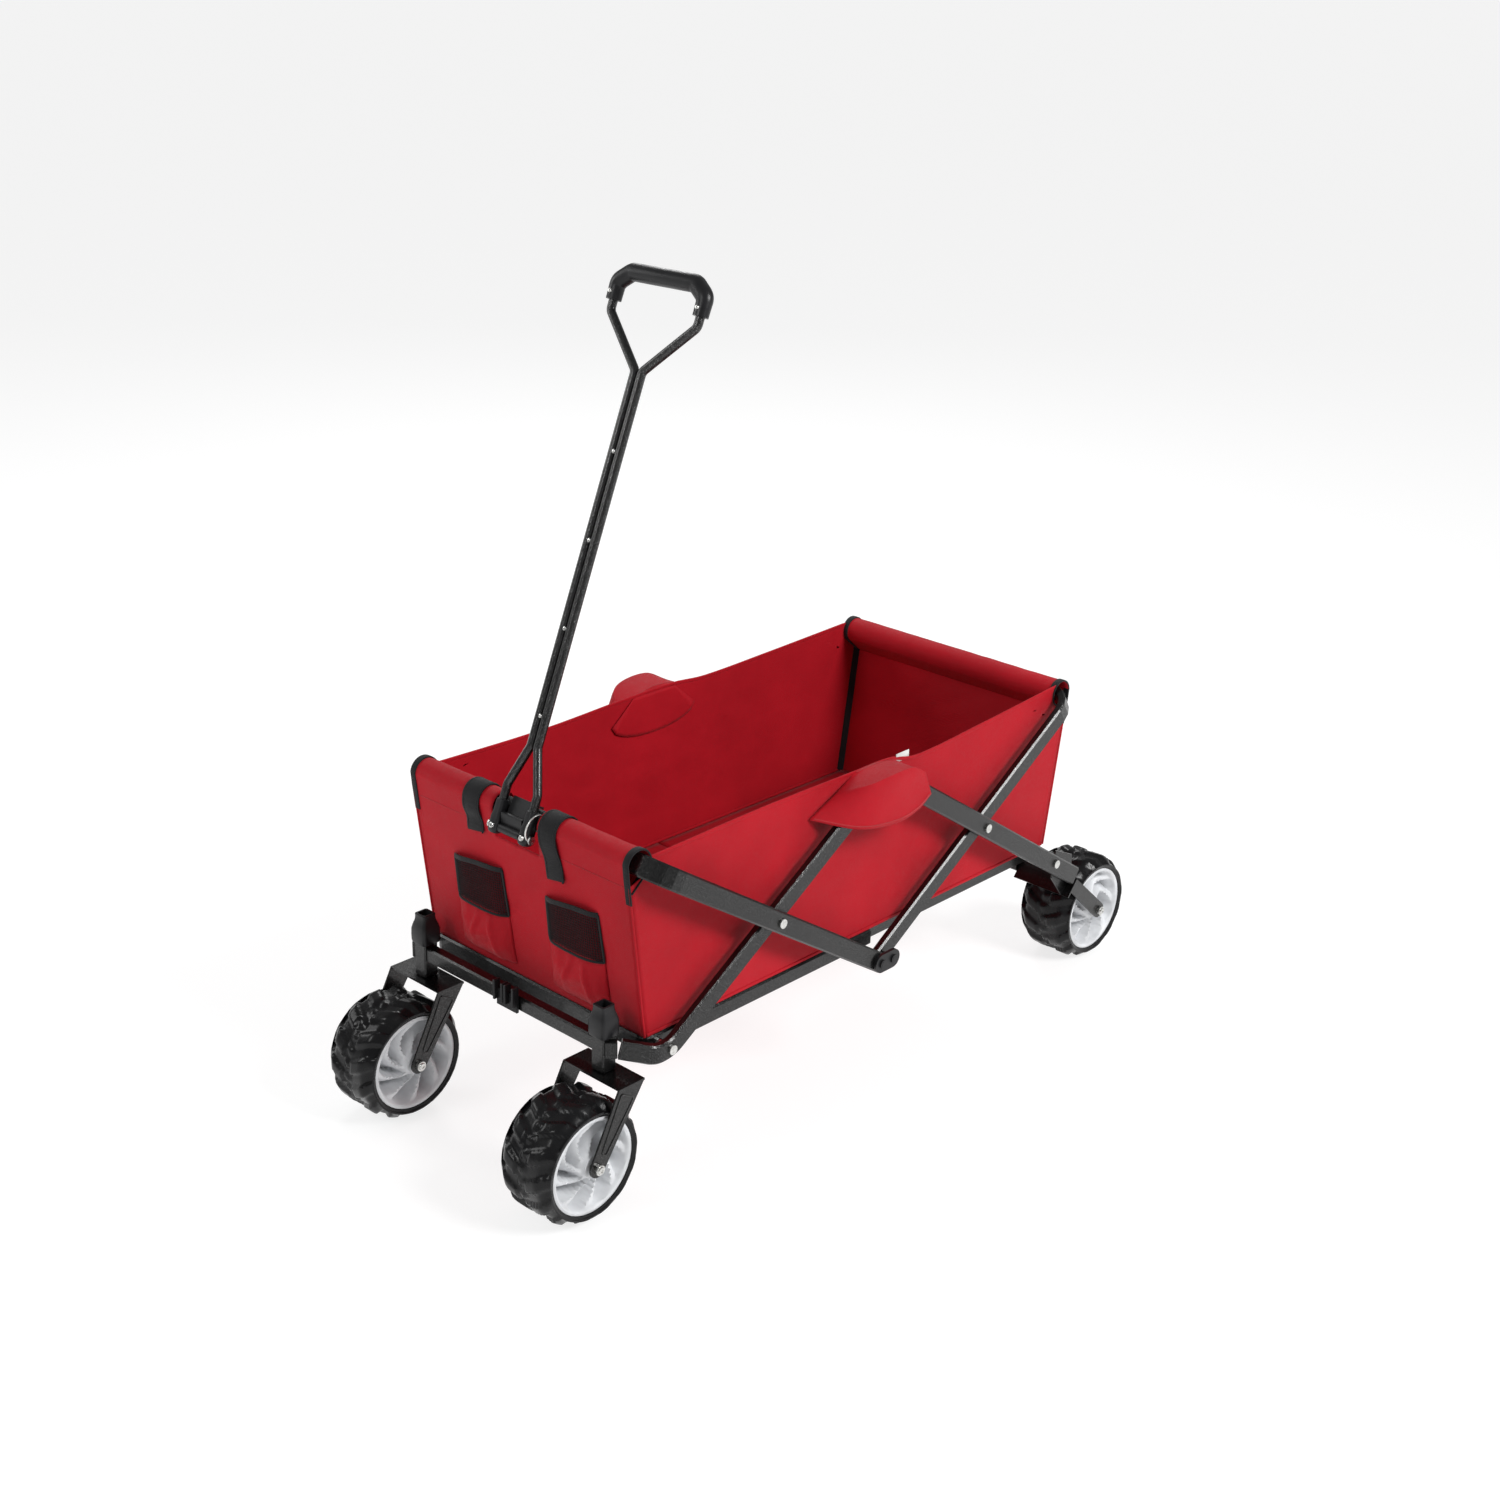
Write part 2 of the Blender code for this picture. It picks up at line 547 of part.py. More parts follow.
FORK_RISE = radians(40)       # rise of the rear legs, from the axle towards the front
WEB_REACH = 0.109
for side_name, side in SIDES:
    y = side * REAR_WHEEL_Y
    name = f"rear_fork_{side_name}"
    axle = Vector((REAR_AXLE_X, 0, WHEEL_R))
    along_web = Vector((sin(FORK_RISE), 0, cos(FORK_RISE)))
    web = axle + Vector((-cos(FORK_RISE), 0, sin(FORK_RISE))) * WEB_REACH
    low, high = web - along_web * 0.020, web + along_web * 0.014
    middle = (low + high) / 2
    fork = box(name, (PLATE, 2 * FORK_HALF, (high - low).length), at(middle.x, y, middle.z),
               Matrix.Rotation(FORK_RISE, 4, "Y"))
    leg_low = web - along_web * 0.010
    outline = leg_outline((axle.x, axle.z), (leg_low.x, leg_low.z), (high.x, high.z), 0.013)
    for flank in (-1, 1):
        leg = outline_plate("leg", outline, PLATE, side_frame(y + flank * (FORK_HALF - PLATE / 2)))
        combine(fork, leg, "UNION")
    cheek = [(low.x, low.z), (high.x, high.z), (0.4930, 0.2110), (0.4450, 0.2330), (0.4400, 0.1850)]
    upper = outline_plate("upper", cheek, PLATE, side_frame(side * (OUTER_FACES[0] - GAP - PLATE / 2)))
    combine(fork, upper, "UNION")
    drill(fork, at(REAR_AXLE_X, y, WHEEL_R), AXLE_HOLE_R, 0.2)
    place(fork, name, STEEL)
    wheel(f"rear_wheel_{side_name}", CENTRE_X + REAR_AXLE_X, y, WHEEL_R)

rear_tie_y = REAR_WHEEL_Y - FORK_HALF - GAP
tube("rear_crossbar", [at(0.4860, y, 0.1640) for y in (-rear_tie_y, 0, rear_tie_y)], (0.018, 0.022))

# ---- pull handle -----------------------------------------------------------------------------
FACE = -DOWN                                    # square to the top bar's front face, outwards
BAR_CENTRE = Vector((-HALF_LENGTH, 0, TOP_Z))
PIVOT = BAR_CENTRE + FACE * 0.0133 - RISE * 0.0282
LEAN = Vector((sin(HANDLE_LEAN), 0, cos(HANDLE_LEAN)))

half_face, half_rise = OUTER_SECTION[0] / 2 + GAP, OUTER_SECTION[1] / 2 + GAP
hook = [(half_face + 0.008, -0.0345), (half_face + 0.008, half_rise + 0.003), (-half_face, half_rise + 0.003),
        (-half_face, half_rise), (half_face, half_rise), (half_face, -0.0345)]
hook_frame = Matrix((FACE, RISE, FACE.cross(RISE))).transposed().to_4x4()
hook_frame.translation = at(*BAR_CENTRE)
bracket = outline_plate("handle_bracket", hook, 0.039, hook_frame)
drill(bracket, at(*PIVOT), 0.0033, 0.1)
place(bracket, "handle_bracket", BLACK)
turned("handle_pin", [(0, 0.0422), (0.006, 0.0422), (0.006, 0.0391), (0.003, 0.0391),
                      (0.003, -0.0391), (0.006, -0.0391), (0.006, -0.0422), (0, -0.0422)],
       at(*PIVOT), ZINC)

lean_turn = Matrix.Rotation(HANDLE_LEAN, 4, "Y")
FOOT_LOW, FOOT_HIGH = -0.0105, 0.034
for side_name, side in SIDES:
    centre = PIVOT + LEAN * (FOOT_LOW + FOOT_HIGH) / 2 + Vector((0, side * HANDLE_FOOT_Y, 0))
    foot = box(f"handle_socket_{side_name}", (0.019, 0.017, FOOT_HIGH - FOOT_LOW), at(*centre), lean_turn, 0.0035)
    drill(foot, at(PIVOT.x, side * HANDLE_FOOT_Y, PIVOT.z), 0.0033, 0.04)
    place(foot, f"handle_socket_{side_name}", BLACK)
    set_origin(foot, at(PIVOT.x, side * HANDLE_FOOT_Y, PIVOT.z))


def on_handle(across, height):
    """A point of the handle from its distance across and its height above the pivot, along the handle."""
    return at(*(PIVOT + LEAN * height + Vector((0, across, 0))))


TWIN_Y = HANDLE_TUBE_R + 0.0003
GRIP_END_Y, GRIP_END = 0.0800, 0.712
for side_name, side in SIDES:
    run = [(HANDLE_FOOT_Y, FOOT_HIGH + GAP), (HANDLE_FOOT_Y, 0.058), (TWIN_Y, 0.118), (TWIN_Y, 0.628),
           (GRIP_END_Y, 0.698), (GRIP_END_Y, GRIP_END - GAP)]
    path = rounded_path([on_handle(side * y, h) for y, h in run], 0.009, 3)
    shaft = wire(f"handle_tube_{side_name}", path, HANDLE_TUBE_R, STEEL, 2)
    set_origin(shaft, at(*PIVOT))

GRIP_R = 0.0125
grip_top = HANDLE_LENGTH - GRIP_R
grip_run = [(-GRIP_END_Y, GRIP_END), (-GRIP_END_Y, 0.737), (-0.058, grip_top), (0.058, grip_top),
            (GRIP_END_Y, 0.737), (GRIP_END_Y, GRIP_END)]
grip = wire("handle_grip", rounded_path([on_handle(y, h) for y, h in grip_run], 0.012, 4), GRIP_R, BLACK, 2)
set_origin(grip, at(*PIVOT))

# ---- fabric tub --------------------------------------------------------------------------------
def cloth_sheet(name, path, half_width, thickness=CLOTH, finish=RED):
    """A sheet that runs across the wagon and follows a path along it."""
    bm = bmesh.new()
    rows = [[bm.verts.new(at(x, y, z)) for x, z in path] for y in (-half_width, half_width)]
    for i in range(len(path) - 1):
        bm.faces.new((rows[0][i], rows[0][i + 1], rows[1][i + 1], rows[1][i]))
    mesh = bpy.data.meshes.new(name)
    bm.to_mesh(mesh)
    bm.free()
    obj = bpy.data.objects.new(name, mesh)
    bpy.context.scene.collection.objects.link(obj)
    body = obj.modifiers.new("cloth", "SOLIDIFY")
    body.thickness = thickness
    body.offset = 0
    return place(obj, name, finish)


PANEL_FOOT_X = 0.4480
for end_name, end in (("front", -1), ("rear", 1)):
    path = []
    for i in range(15):
        turn = radians(-40 + 235 * i / 14)
        path.append((end * (HALF_LENGTH - SLEEVE_R * cos(turn)), TOP_Z + SLEEVE_R * sin(turn)))
    path.append((end * PANEL_FOOT_X, TUB_FLOOR + 0.0005))
    panel = cloth_sheet(f"tub_{end_name}_panel", path, 0.2035)
    if end < 0:
        combine(panel, box("handle_notch", (0.08, 0.092, 0.09), at(-HALF_LENGTH, 0, 0.5)), "DIFFERENCE")
    set_origin(panel, at(end * HALF_LENGTH, 0, TOP_Z))

wall_low, wall_high = TUB_FLOOR + 0.0005, 0.4975
for side_name, side in SIDES:
    wall = box(f"tub_side_{side_name}", (2 * TUB_END_X, CLOTH, wall_high - wall_low),
               at(0, side * TUB_Y, (wall_low + wall_high) / 2))
    place(wall, f"tub_side_{side_name}", RED)

floor_half = TUB_Y - CLOTH / 2 - GAP
for end_name, end in (("front", -1), ("rear", 1)):
    inner, outer = 0.0006, PANEL_FOOT_X - 0.002
    floor = box(f"tub_floor_{end_name}", (outer - inner, 2 * floor_half, CLOTH),
                at(end * (inner + outer) / 2, 0, TUB_FLOOR + CLOTH / 2 + 0.0002))
    place(floor, f"tub_floor_{end_name}", RED)
    set_origin(floor, at(end * BASE_PIVOT_X, 0, RAIL_Z))

FLAP_TOP, FLAP_Y = 0.5085, 0.2700
for side_name, side in SIDES:
    outline = [(-0.030 + 0.110 * cos(pi * i / 16), FLAP_TOP - 0.022 - 0.062 * sin(pi * i / 16)) for i in range(17)]
    outline += [(-0.080, FLAP_TOP + 0.0008), (0.020, FLAP_TOP + 0.0008)]
    flap = outline_plate("flap", outline, 0.0016, side_frame(side * FLAP_Y))
    cover_in, cover_out = TUB_Y + 0.0035, FLAP_Y
    cover = box("cover", (0.100, cover_out - cover_in, 0.0016),
                at(-0.030, side * (cover_in + cover_out) / 2, FLAP_TOP))
    combine(flap, cover, "UNION")
    place(flap, f"pivot_flap_{side_name}", RED)

panel_slope = atan2(HALF_LENGTH + SLEEVE_R - PANEL_FOOT_X, TOP_Z - TUB_FLOOR)
POCKET_Y, POCKET_SIZE = 0.0950, (0.022, 0.116, 0.148)
for side_name, side in SIDES:
    tilt = Matrix.Rotation(-panel_slope, 4, "Y")
    centre = at(-0.4755, side * POCKET_Y, 0.3265)
    pocket = box(f"front_pocket_{side_name}", POCKET_SIZE, centre, tilt)
    depth, width, height = POCKET_SIZE
    hollow = box("pocket_hollow", (depth - 0.004, width - 0.004, height), centre + Vector((0, 0, 0.003)), tilt)
    combine(pocket, hollow, "DIFFERENCE")
    place(pocket, f"front_pocket_{side_name}", RED)
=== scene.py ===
"""The folding camp wagon's visual model: wheels, handle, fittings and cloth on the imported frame."""
import json
from functools import partial
from math import acos, atan2, cos, exp, hypot, pi, radians, sin, sqrt, tan

import bmesh
import bpy
from mathutils import Matrix, Vector, noise


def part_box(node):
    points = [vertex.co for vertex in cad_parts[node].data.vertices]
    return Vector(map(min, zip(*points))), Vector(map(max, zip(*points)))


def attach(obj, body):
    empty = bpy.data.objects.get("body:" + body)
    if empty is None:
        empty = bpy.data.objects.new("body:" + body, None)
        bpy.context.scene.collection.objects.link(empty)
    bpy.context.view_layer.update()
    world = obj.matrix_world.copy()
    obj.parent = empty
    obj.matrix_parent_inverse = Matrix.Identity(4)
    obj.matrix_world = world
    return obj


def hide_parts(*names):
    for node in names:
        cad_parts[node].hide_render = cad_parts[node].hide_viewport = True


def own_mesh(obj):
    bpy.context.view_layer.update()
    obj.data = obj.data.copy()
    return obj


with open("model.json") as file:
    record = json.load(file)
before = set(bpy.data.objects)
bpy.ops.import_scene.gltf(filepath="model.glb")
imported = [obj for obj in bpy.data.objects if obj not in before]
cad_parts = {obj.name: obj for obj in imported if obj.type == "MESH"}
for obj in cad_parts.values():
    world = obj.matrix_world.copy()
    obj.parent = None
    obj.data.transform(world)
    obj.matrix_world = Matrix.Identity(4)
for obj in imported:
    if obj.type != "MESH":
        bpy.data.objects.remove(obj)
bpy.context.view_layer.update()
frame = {"nodes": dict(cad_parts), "record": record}
SCENE = bpy.context.scene
NODES = frame["nodes"]
SIDES = (("left", -1), ("right", 1))


def middle(node):
    low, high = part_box(node)
    return (low + high) / 2


# ---- places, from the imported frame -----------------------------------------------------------
FRAME_X = middle("lower_centre_link_left").x
HALF_LENGTH = 0.4626          # from the middle to a top bar's centre line
TOP_Z = 0.4898                # height of that line
FLOOR_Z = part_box("tub_floor_front")[0].z
WALL_Y = abs(middle("tub_side_left").y)
SLEEVE_R = 0.0198             # cloth sleeve round a top bar
SLEEVE_HALF = 0.2172          # half its width
FOOT_X = 0.4480               # foot of the end panels


def at(x, y, z):
    """A point given from the middle of the wagon."""
    return Vector((FRAME_X + x, y, z))


# ---- materials -------------------------------------------------------------------------------
def shader(name, colour, roughness, metallic=0.0, **sockets):
    made = bpy.data.materials.new(name)
    made.use_nodes = True
    bsdf = made.node_tree.nodes["Principled BSDF"]
    bsdf.inputs["Base Color"].default_value = (*colour, 1.0)
    bsdf.inputs["Roughness"].default_value = roughness
    bsdf.inputs["Metallic"].default_value = metallic
    for key, value in sockets.items():
        bsdf.inputs[key.replace("_", " ")].default_value = value
    return made, made.node_tree, bsdf


def coords(tree):
    return tree.nodes.new("ShaderNodeTexCoord").outputs["Object"]


def texture(tree, kind, vector, scale, detail=2.0, **props):
    node = tree.nodes.new(f"ShaderNodeTex{kind}")
    tree.links.new(vector, node.inputs["Vector"])
    node.inputs["Scale"].default_value = scale
    if "Detail" in node.inputs:
        node.inputs["Detail"].default_value = detail
    for key, value in props.items():
        setattr(node, key, value)
    return node


def ramp(tree, value, stops):
    node = tree.nodes.new("ShaderNodeValToRGB")
    tree.links.new(value, node.inputs["Fac"])
    elements = node.color_ramp.elements
    while len(elements) < len(stops):
        elements.new(0.5)
    for element, (position, colour) in zip(elements, stops):
        element.position = position
        element.color = (*colour, 1.0) if len(colour) == 3 else colour
    return node.outputs["Color"]


def grey(value):
    return (value, value, value)


def bump(tree, bsdf, height, distance, strength=1.0, under=None):
    node = tree.nodes.new("ShaderNodeBump")
    node.inputs["Distance"].default_value = distance
    node.inputs["Strength"].default_value = strength
    tree.links.new(height, node.inputs["Height"])
    if under:
        tree.links.new(under, node.inputs["Normal"])
    tree.links.new(node.outputs["Normal"], bsdf.inputs["Normal"])
    return node.outputs["Normal"]


def woven(name, dark, light, threads=900.0, roughness=0.6, sheen=0.03):
    """Plain-weave cloth: two crossed thread waves, slow colour variation and soft creases."""
    made, tree, bsdf = shader(name, light, roughness, Sheen_Weight=sheen, Sheen_Roughness=0.45,
                              Specular_IOR_Level=0.14)
    where = coords(tree)
    cloud = texture(tree, "Noise", where, 7.0, 4.0)
    fine = texture(tree, "Noise", where, 260.0, 2.0)
    mixed = tree.nodes.new("ShaderNodeMath")
    mixed.operation = "MULTIPLY_ADD"
    tree.links.new(fine.outputs["Fac"], mixed.inputs[0])
    mixed.inputs[1].default_value = 0.35
    tree.links.new(cloud.outputs["Fac"], mixed.inputs[2])
    colour = ramp(tree, mixed.outputs[0], ((0.45, dark), (0.95, light)))
    tree.links.new(colour, bsdf.inputs["Base Color"])
    rough = ramp(tree, fine.outputs["Fac"],
                 ((0.3, grey(roughness - 0.08)), (0.7, grey(roughness + 0.08))))
    tree.links.new(rough, bsdf.inputs["Roughness"])
    warp = texture(tree, "Wave", where, threads, wave_type="BANDS", bands_direction="X")
    weft = texture(tree, "Wave", where, threads, wave_type="BANDS", bands_direction="Z")
    cross = tree.nodes.new("ShaderNodeMath")
    cross.operation = "MAXIMUM"
    tree.links.new(warp.outputs["Fac"], cross.inputs[0])
    tree.links.new(weft.outputs["Fac"], cross.inputs[1])
    creases = texture(tree, "Noise", where, 22.0, 3.0)
    under = bump(tree, bsdf, creases.outputs["Fac"], 0.004, 0.35)
    bump(tree, bsdf, cross.outputs[0], 0.0003, 0.5, under)
    return made


def hammertone(name, mid, bright):
    """Dark enamel with light flecks and shallow dimples."""
    made, tree, bsdf = shader(name, (0.03, 0.028, 0.029), 0.3, 0.85,
                              Coat_Weight=0.35, Coat_Roughness=0.1)
    where = coords(tree)
    cells = texture(tree, "Voronoi", where, 700.0)
    flecks = texture(tree, "Noise", where, 1300.0, 2.0)
    colour = ramp(tree, flecks.outputs["Fac"],
                  ((0.46, grey(0.008)), (0.60, grey(mid)), (0.74, grey(bright))))
    tree.links.new(colour, bsdf.inputs["Base Color"])
    rough = ramp(tree, flecks.outputs["Fac"], ((0.3, grey(0.36)), (0.75, grey(0.2))))
    tree.links.new(rough, bsdf.inputs["Roughness"])
    bump(tree, bsdf, cells.outputs["Distance"], 0.0005, 0.3)
    return made


def moulded(name, colour, roughness, grain=0.25, scale=900.0, **sockets):
    """Plastic or rubber with fine pores and a slow change of tone."""
    made, tree, bsdf = shader(name, colour, roughness, **sockets)
    where = coords(tree)
    pores = texture(tree, "Noise", where, scale, 3.0)
    slow = texture(tree, "Noise", where, 30.0, 3.0)
    light = tuple(min(1.0, c * 1.35 + 0.003) for c in colour)
    tone = ramp(tree, slow.outputs["Fac"], ((0.35, colour), (0.75, light)))
    tree.links.new(tone, bsdf.inputs["Base Color"])
    rough = ramp(tree, slow.outputs["Fac"],
                 ((0.3, grey(max(0.05, roughness - 0.06))), (0.7, grey(roughness + 0.1))))
    tree.links.new(rough, bsdf.inputs["Roughness"])
    bump(tree, bsdf, pores.outputs["Fac"], 0.0003, grain)
    return made


def zinc_plate():
    made, tree, bsdf = shader("zinc_plate", (0.66, 0.66, 0.64), 0.28, 1.0)
    where = coords(tree)
    cloud = texture(tree, "Noise", where, 240.0, 4.0)
    rough = ramp(tree, cloud.outputs["Fac"], ((0.3, grey(0.18)), (0.8, grey(0.42))))
    tree.links.new(rough, bsdf.inputs["Roughness"])
    tone = ramp(tree, cloud.outputs["Fac"], ((0.3, (0.5, 0.5, 0.48)), (0.7, (0.75, 0.75, 0.73))))
    tree.links.new(tone, bsdf.inputs["Base Color"])
    return made


STEEL = hammertone("hammertone_enamel", 0.030, 0.16)
# The handle's copy has brighter flecks: part real hammertone flecks, part painted highlight along its
# tubes.
HANDLE_FLECKS_AND_HIGHLIGHT = hammertone("hammertone_handle_flecks_and_highlight", 0.060, 0.40)
CHROME = zinc_plate()
BLACK = moulded("black_plastic", (0.008, 0.008, 0.009), 0.36, 0.4, Specular_IOR_Level=0.3)
TYRE = moulded("tyre_black", (0.005, 0.005, 0.0055), 0.24, 0.15, 400.0, Specular_IOR_Level=0.22)
RIM = moulded("rim_grey", (0.56, 0.57, 0.585), 0.38, 0.15)
RED = woven("red_polyester", (0.36, 0.004, 0.011), (0.49, 0.007, 0.017))
# A darker copy of the red cloth for the tub floor: painted shade for the inside of the tub.
RED_PAINTED_SHADE = woven("red_polyester_painted_shade", (0.30, 0.004, 0.010), (0.40, 0.007, 0.016))
BINDING = woven("black_binding", (0.006, 0.006, 0.007), (0.022, 0.022, 0.023), 600.0, 0.7, 0.1)
THREAD = moulded("red_thread", (0.30, 0.004, 0.010), 0.6)
LABEL = moulded("blank_label", (0.55, 0.55, 0.53), 0.7)
NET = moulded("black_net", (0.006, 0.006, 0.007), 0.6, Specular_IOR_Level=0.2)
# A dark red sheet seen through the net windows: painted shade for the inside of each pocket.
POCKET_PAINTED_SHADE = moulded("pocket_shade", (0.085, 0.002, 0.005), 0.8, Specular_IOR_Level=0.2)

SLOT_MATERIAL = {"frame_steel": STEEL, "handle_steel": HANDLE_FLECKS_AND_HIGHLIGHT, "black_plastic": BLACK,
                 "zinc": CHROME, "tyre": TYRE, "rim": RIM, "red_fabric": RED}
for part in frame["record"]["subparts"]:
    mesh = NODES[part["node"]].data
    mesh.materials.clear()
    mesh.materials.append(SLOT_MATERIAL[part["material_slot"]])


# ---- mesh helpers ----------------------------------------------------------------------------
Y_ACROSS, Z_UP = Vector((0, 1, 0)), Vector((0, 0, 1))


def add(name, verts, faces, mat, body, smooth=True):
    """One visible piece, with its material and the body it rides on."""
    mesh = bpy.data.meshes.new(name)
    mesh.from_pydata([tuple(v) for v in verts], [], faces)
    bm = bmesh.new()
    bm.from_mesh(mesh)
    bmesh.ops.remove_doubles(bm, verts=bm.verts, dist=0.000002)
    bmesh.ops.recalc_face_normals(bm, faces=bm.faces)
    bm.to_mesh(mesh)
    bm.free()
    obj = bpy.data.objects.new(name, mesh)
    SCENE.collection.objects.link(obj)
    mesh.materials.append(mat)
    if smooth:
        mesh.shade_smooth()
        mesh.set_sharp_from_angle(angle=radians(42))
    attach(obj, body)
    return obj


def grid_faces(rows, columns, close_rows=False, close_columns=False, start=0):
    faces = []
    for i in range(rows if close_rows else rows - 1):
        for j in range(columns if close_columns else columns - 1):
            a, b = i, (i + 1) % rows
            c, d = j, (j + 1) % columns
            faces.append([start + a * columns + c, start + a * columns + d, start + b * columns + d,
                          start + b * columns + c])
    return faces


def sweep(name, path, profile, mat, body, up=Z_UP, scale=None, closed=False):
    """A solid swept along a path; the profile's second coordinate stays along up."""
    path = [Vector(p) for p in path]
    verts, count = [], len(path)
    for i, point in enumerate(path):
        before = path[i - 1] if i or closed else point
        after = path[(i + 1) % count] if i + 1 < count or closed else point
        ahead = (after - before).normalized()
        side = ahead.cross(up).normalized()
        rise = side.cross(ahead)
        sx, sy = scale(i / (count - 1)) if scale else (1.0, 1.0)
        verts += [point + side * (x * sx) + rise * (y * sy) for x, y in profile]
    faces = grid_faces(count, len(profile), close_rows=closed, close_columns=True)
    if not closed:
        faces.append(list(range(len(profile))))
        faces.append([(count - 1) * len(profile) + j for j in range(len(profile))])
    return add(name, verts, faces, mat, body)


def circle(radius, count=10):
    return [(radius * cos(2 * pi * i / count), radius * sin(2 * pi * i / count))
            for i in range(count)]


def rectangle(width, height, corner, steps=3):
    points = []
    for quarter in range(4):
        sx, sy = ((1, 1), (-1, 1), (-1, -1), (1, -1))[quarter]
        for i in range(steps + 1):
            turn = (quarter + i / steps) * pi / 2
            points.append((sx * (width / 2 - corner) + corner * cos(turn),
                           sy * (height / 2 - corner) + corner * sin(turn)))
    return points


def rounded(points, radius, steps=6):
    """Straight runs joined by arcs of one radius."""
    points = [Vector(p) for p in points]
    path = [points[0]]
    for before, corner, after in zip(points, points[1:], points[2:]):
        a, b = (before - corner).normalized(), (after - corner).normalized()
        half = a.angle(b) / 2
        centre = corner + (a + b).normalized() * (radius / sin(half))
        first = corner + a * (radius / tan(half)) - centre
        last = corner + b * (radius / tan(half)) - centre
        turn = first.angle(last)
        for i in range(steps + 1):
            t = i / steps
            path.append(centre + (first * sin((1 - t) * turn) + last * sin(t * turn)) / sin(turn))
    path.append(points[-1])
    return path


def subdivided(path, step):
    """The same path with a point at least every step."""
    out = [path[0]]
    for a, b in zip(path, path[1:]):
        pieces = max(1, round((b - a).length / step))
        out += [a.lerp(b, (i + 1) / pieces) for i in range(pieces)]
    return out


def stud(name, point, direction, radius, height, mat, body, recess=0.0):
    """A domed round head on a surface, facing along a direction."""
    turn = Vector(direction).to_track_quat("Z", "Y").to_matrix()
    rings = [(radius, -0.0006), (radius, height * 0.45), (radius * 0.86, height * 0.85),
             (radius * 0.5, height)]
    if recess:
        rings += [(radius * 0.42, height), (radius * 0.36, height - recess)]
    verts, sides = [], 16
    for r, h in rings:
        verts += [Vector(point) + turn @ Vector((x, y, h)) for x, y in circle(r, sides)]
    faces = grid_faces(len(rings), sides, close_columns=True)
    faces += [list(range(sides)), [(len(rings) - 1) * sides + i for i in range(sides)]]
    return add(name, verts, faces, mat, body)


def cloth(name, place, rows, columns, mat, body, thickness=0.0011):
    """A sheet from a function of two shares, 0 to 1."""
    verts = [place(i / (rows - 1), j / (columns - 1)) for i in range(rows) for j in range(columns)]
    obj = add(name, verts, grid_faces(rows, columns), mat, body)
    thick = obj.modifiers.new("thickness", "SOLIDIFY")
    thick.thickness = thickness
    thick.offset = 0.0
    return obj


def surface_area(obj):
    bm = bmesh.new()
    bm.from_mesh(obj.data)
    total = sum(face.calc_area() for face in bm.faces)
    bm.free()
    return total


def smoothstep(low, high, value):
    t = min(1.0, max(0.0, (value - low) / (high - low)))
    return t * t * (3 - 2 * t)


def ripple(x, z, seed, size=0.09):
    return noise.noise(Vector((x / size, z / size, seed)))


# ---- wheels ----------------------------------------------------------------------------------
WHEEL_R, TYRE_HALF = 0.089, 0.0475
LUGS, LUG_HEIGHT = 13, 0.0052
SPOKES = 8


def tread_height(turn, share):
    """Chevron lugs: slanted blocks on each half, out of step, with low knobs between them."""
    side = 1 if share > 0 else -1
    across = abs(share)
    phase = (turn / (2 * pi) * LUGS + 0.55 * across ** 1.3 + (0.5 if side > 0 else 0.0)) % 1.0
    ridge = smoothstep(0.0, 0.07, phase) - smoothstep(0.50, 0.57, phase)
    fade = smoothstep(0.10, 0.22, across)
    centre = (turn / (2 * pi) * LUGS * 2 + 1.1 * share) % 1.0
    knob = smoothstep(0.0, 0.12, centre) - smoothstep(0.5, 0.62, centre)
    knob *= 1 - smoothstep(0.05, 0.16, across)
    return max(ridge * fade, knob * 0.7)


def tyre_mesh(around=156):
    """Sections round the tyre, each a loop of (radius, distance across)."""
    crown = [i / 13 for i in range(-13, 14)]
    rows = []
    for i in range(around):
        turn = 2 * pi * i / around
        row = []
        for share in crown:
            shoulder = smoothstep(0.55, 1.0, abs(share))
            radius = WHEEL_R - LUG_HEIGHT - 0.0110 * shoulder ** 1.6
            radius += LUG_HEIGHT * tread_height(turn, share)
            row.append((radius, share * TYRE_HALF * 0.985))
        lug = tread_height(turn, 0.98)
        lug_left = tread_height(turn, -0.98)
        bead = [(0.0775, 1.0, lug), (0.0752, 1.01, 0), (0.0737, 0.985, 0), (0.0708, 0.97, 0),
                (0.0704, 0.90, 0)]
        outer = [(r, TYRE_HALF * (h + 0.012 * k)) for r, h, k in bead]
        inner = [(r, -TYRE_HALF * (h + 0.012 * lug_left * (1 if k else 0)))
                 for r, h, k in reversed(bead)]
        rows.append(row + outer + inner)
    return rows


def wheel_pieces(name, centre, body, outboard):
    """A treaded tyre and a rim with curved blades on both faces."""
    verts, rows = [], tyre_mesh()
    for i, row in enumerate(rows):
        turn = 2 * pi * i / len(rows)
        verts += [centre + Vector((r * cos(turn), h * outboard, r * sin(turn))) for r, h in row]
    faces = grid_faces(len(rows), len(rows[0]), close_rows=True, close_columns=True)
    tyre = add(f"{name}_tread", verts, faces, TYRE, body)
    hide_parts(f"{name}_tyre")

    around = 160
    radii = [0.0070, 0.0125, 0.0150, 0.0166, 0.0185, 0.0215, 0.0255, 0.0300, 0.0350, 0.0400, 0.0450,
             0.0495, 0.0530, 0.0555, 0.0580, 0.0605, 0.0625, 0.0640, 0.0655, 0.0668, 0.0685, 0.0700]
    verts = []
    for i in range(around):
        turn = 2 * pi * i / around
        column = [(r, face_height(r, turn)) for r in radii]
        column += [(r, -h) for r, h in reversed(column)]
        verts += [centre + Vector((r * cos(turn), h * outboard, r * sin(turn))) for r, h in column]
    faces = grid_faces(around, 2 * len(radii), close_rows=True, close_columns=True)
    rim = add(f"{name}_swirl_rim", verts, faces, RIM, body)
    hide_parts(f"{name}_rim")


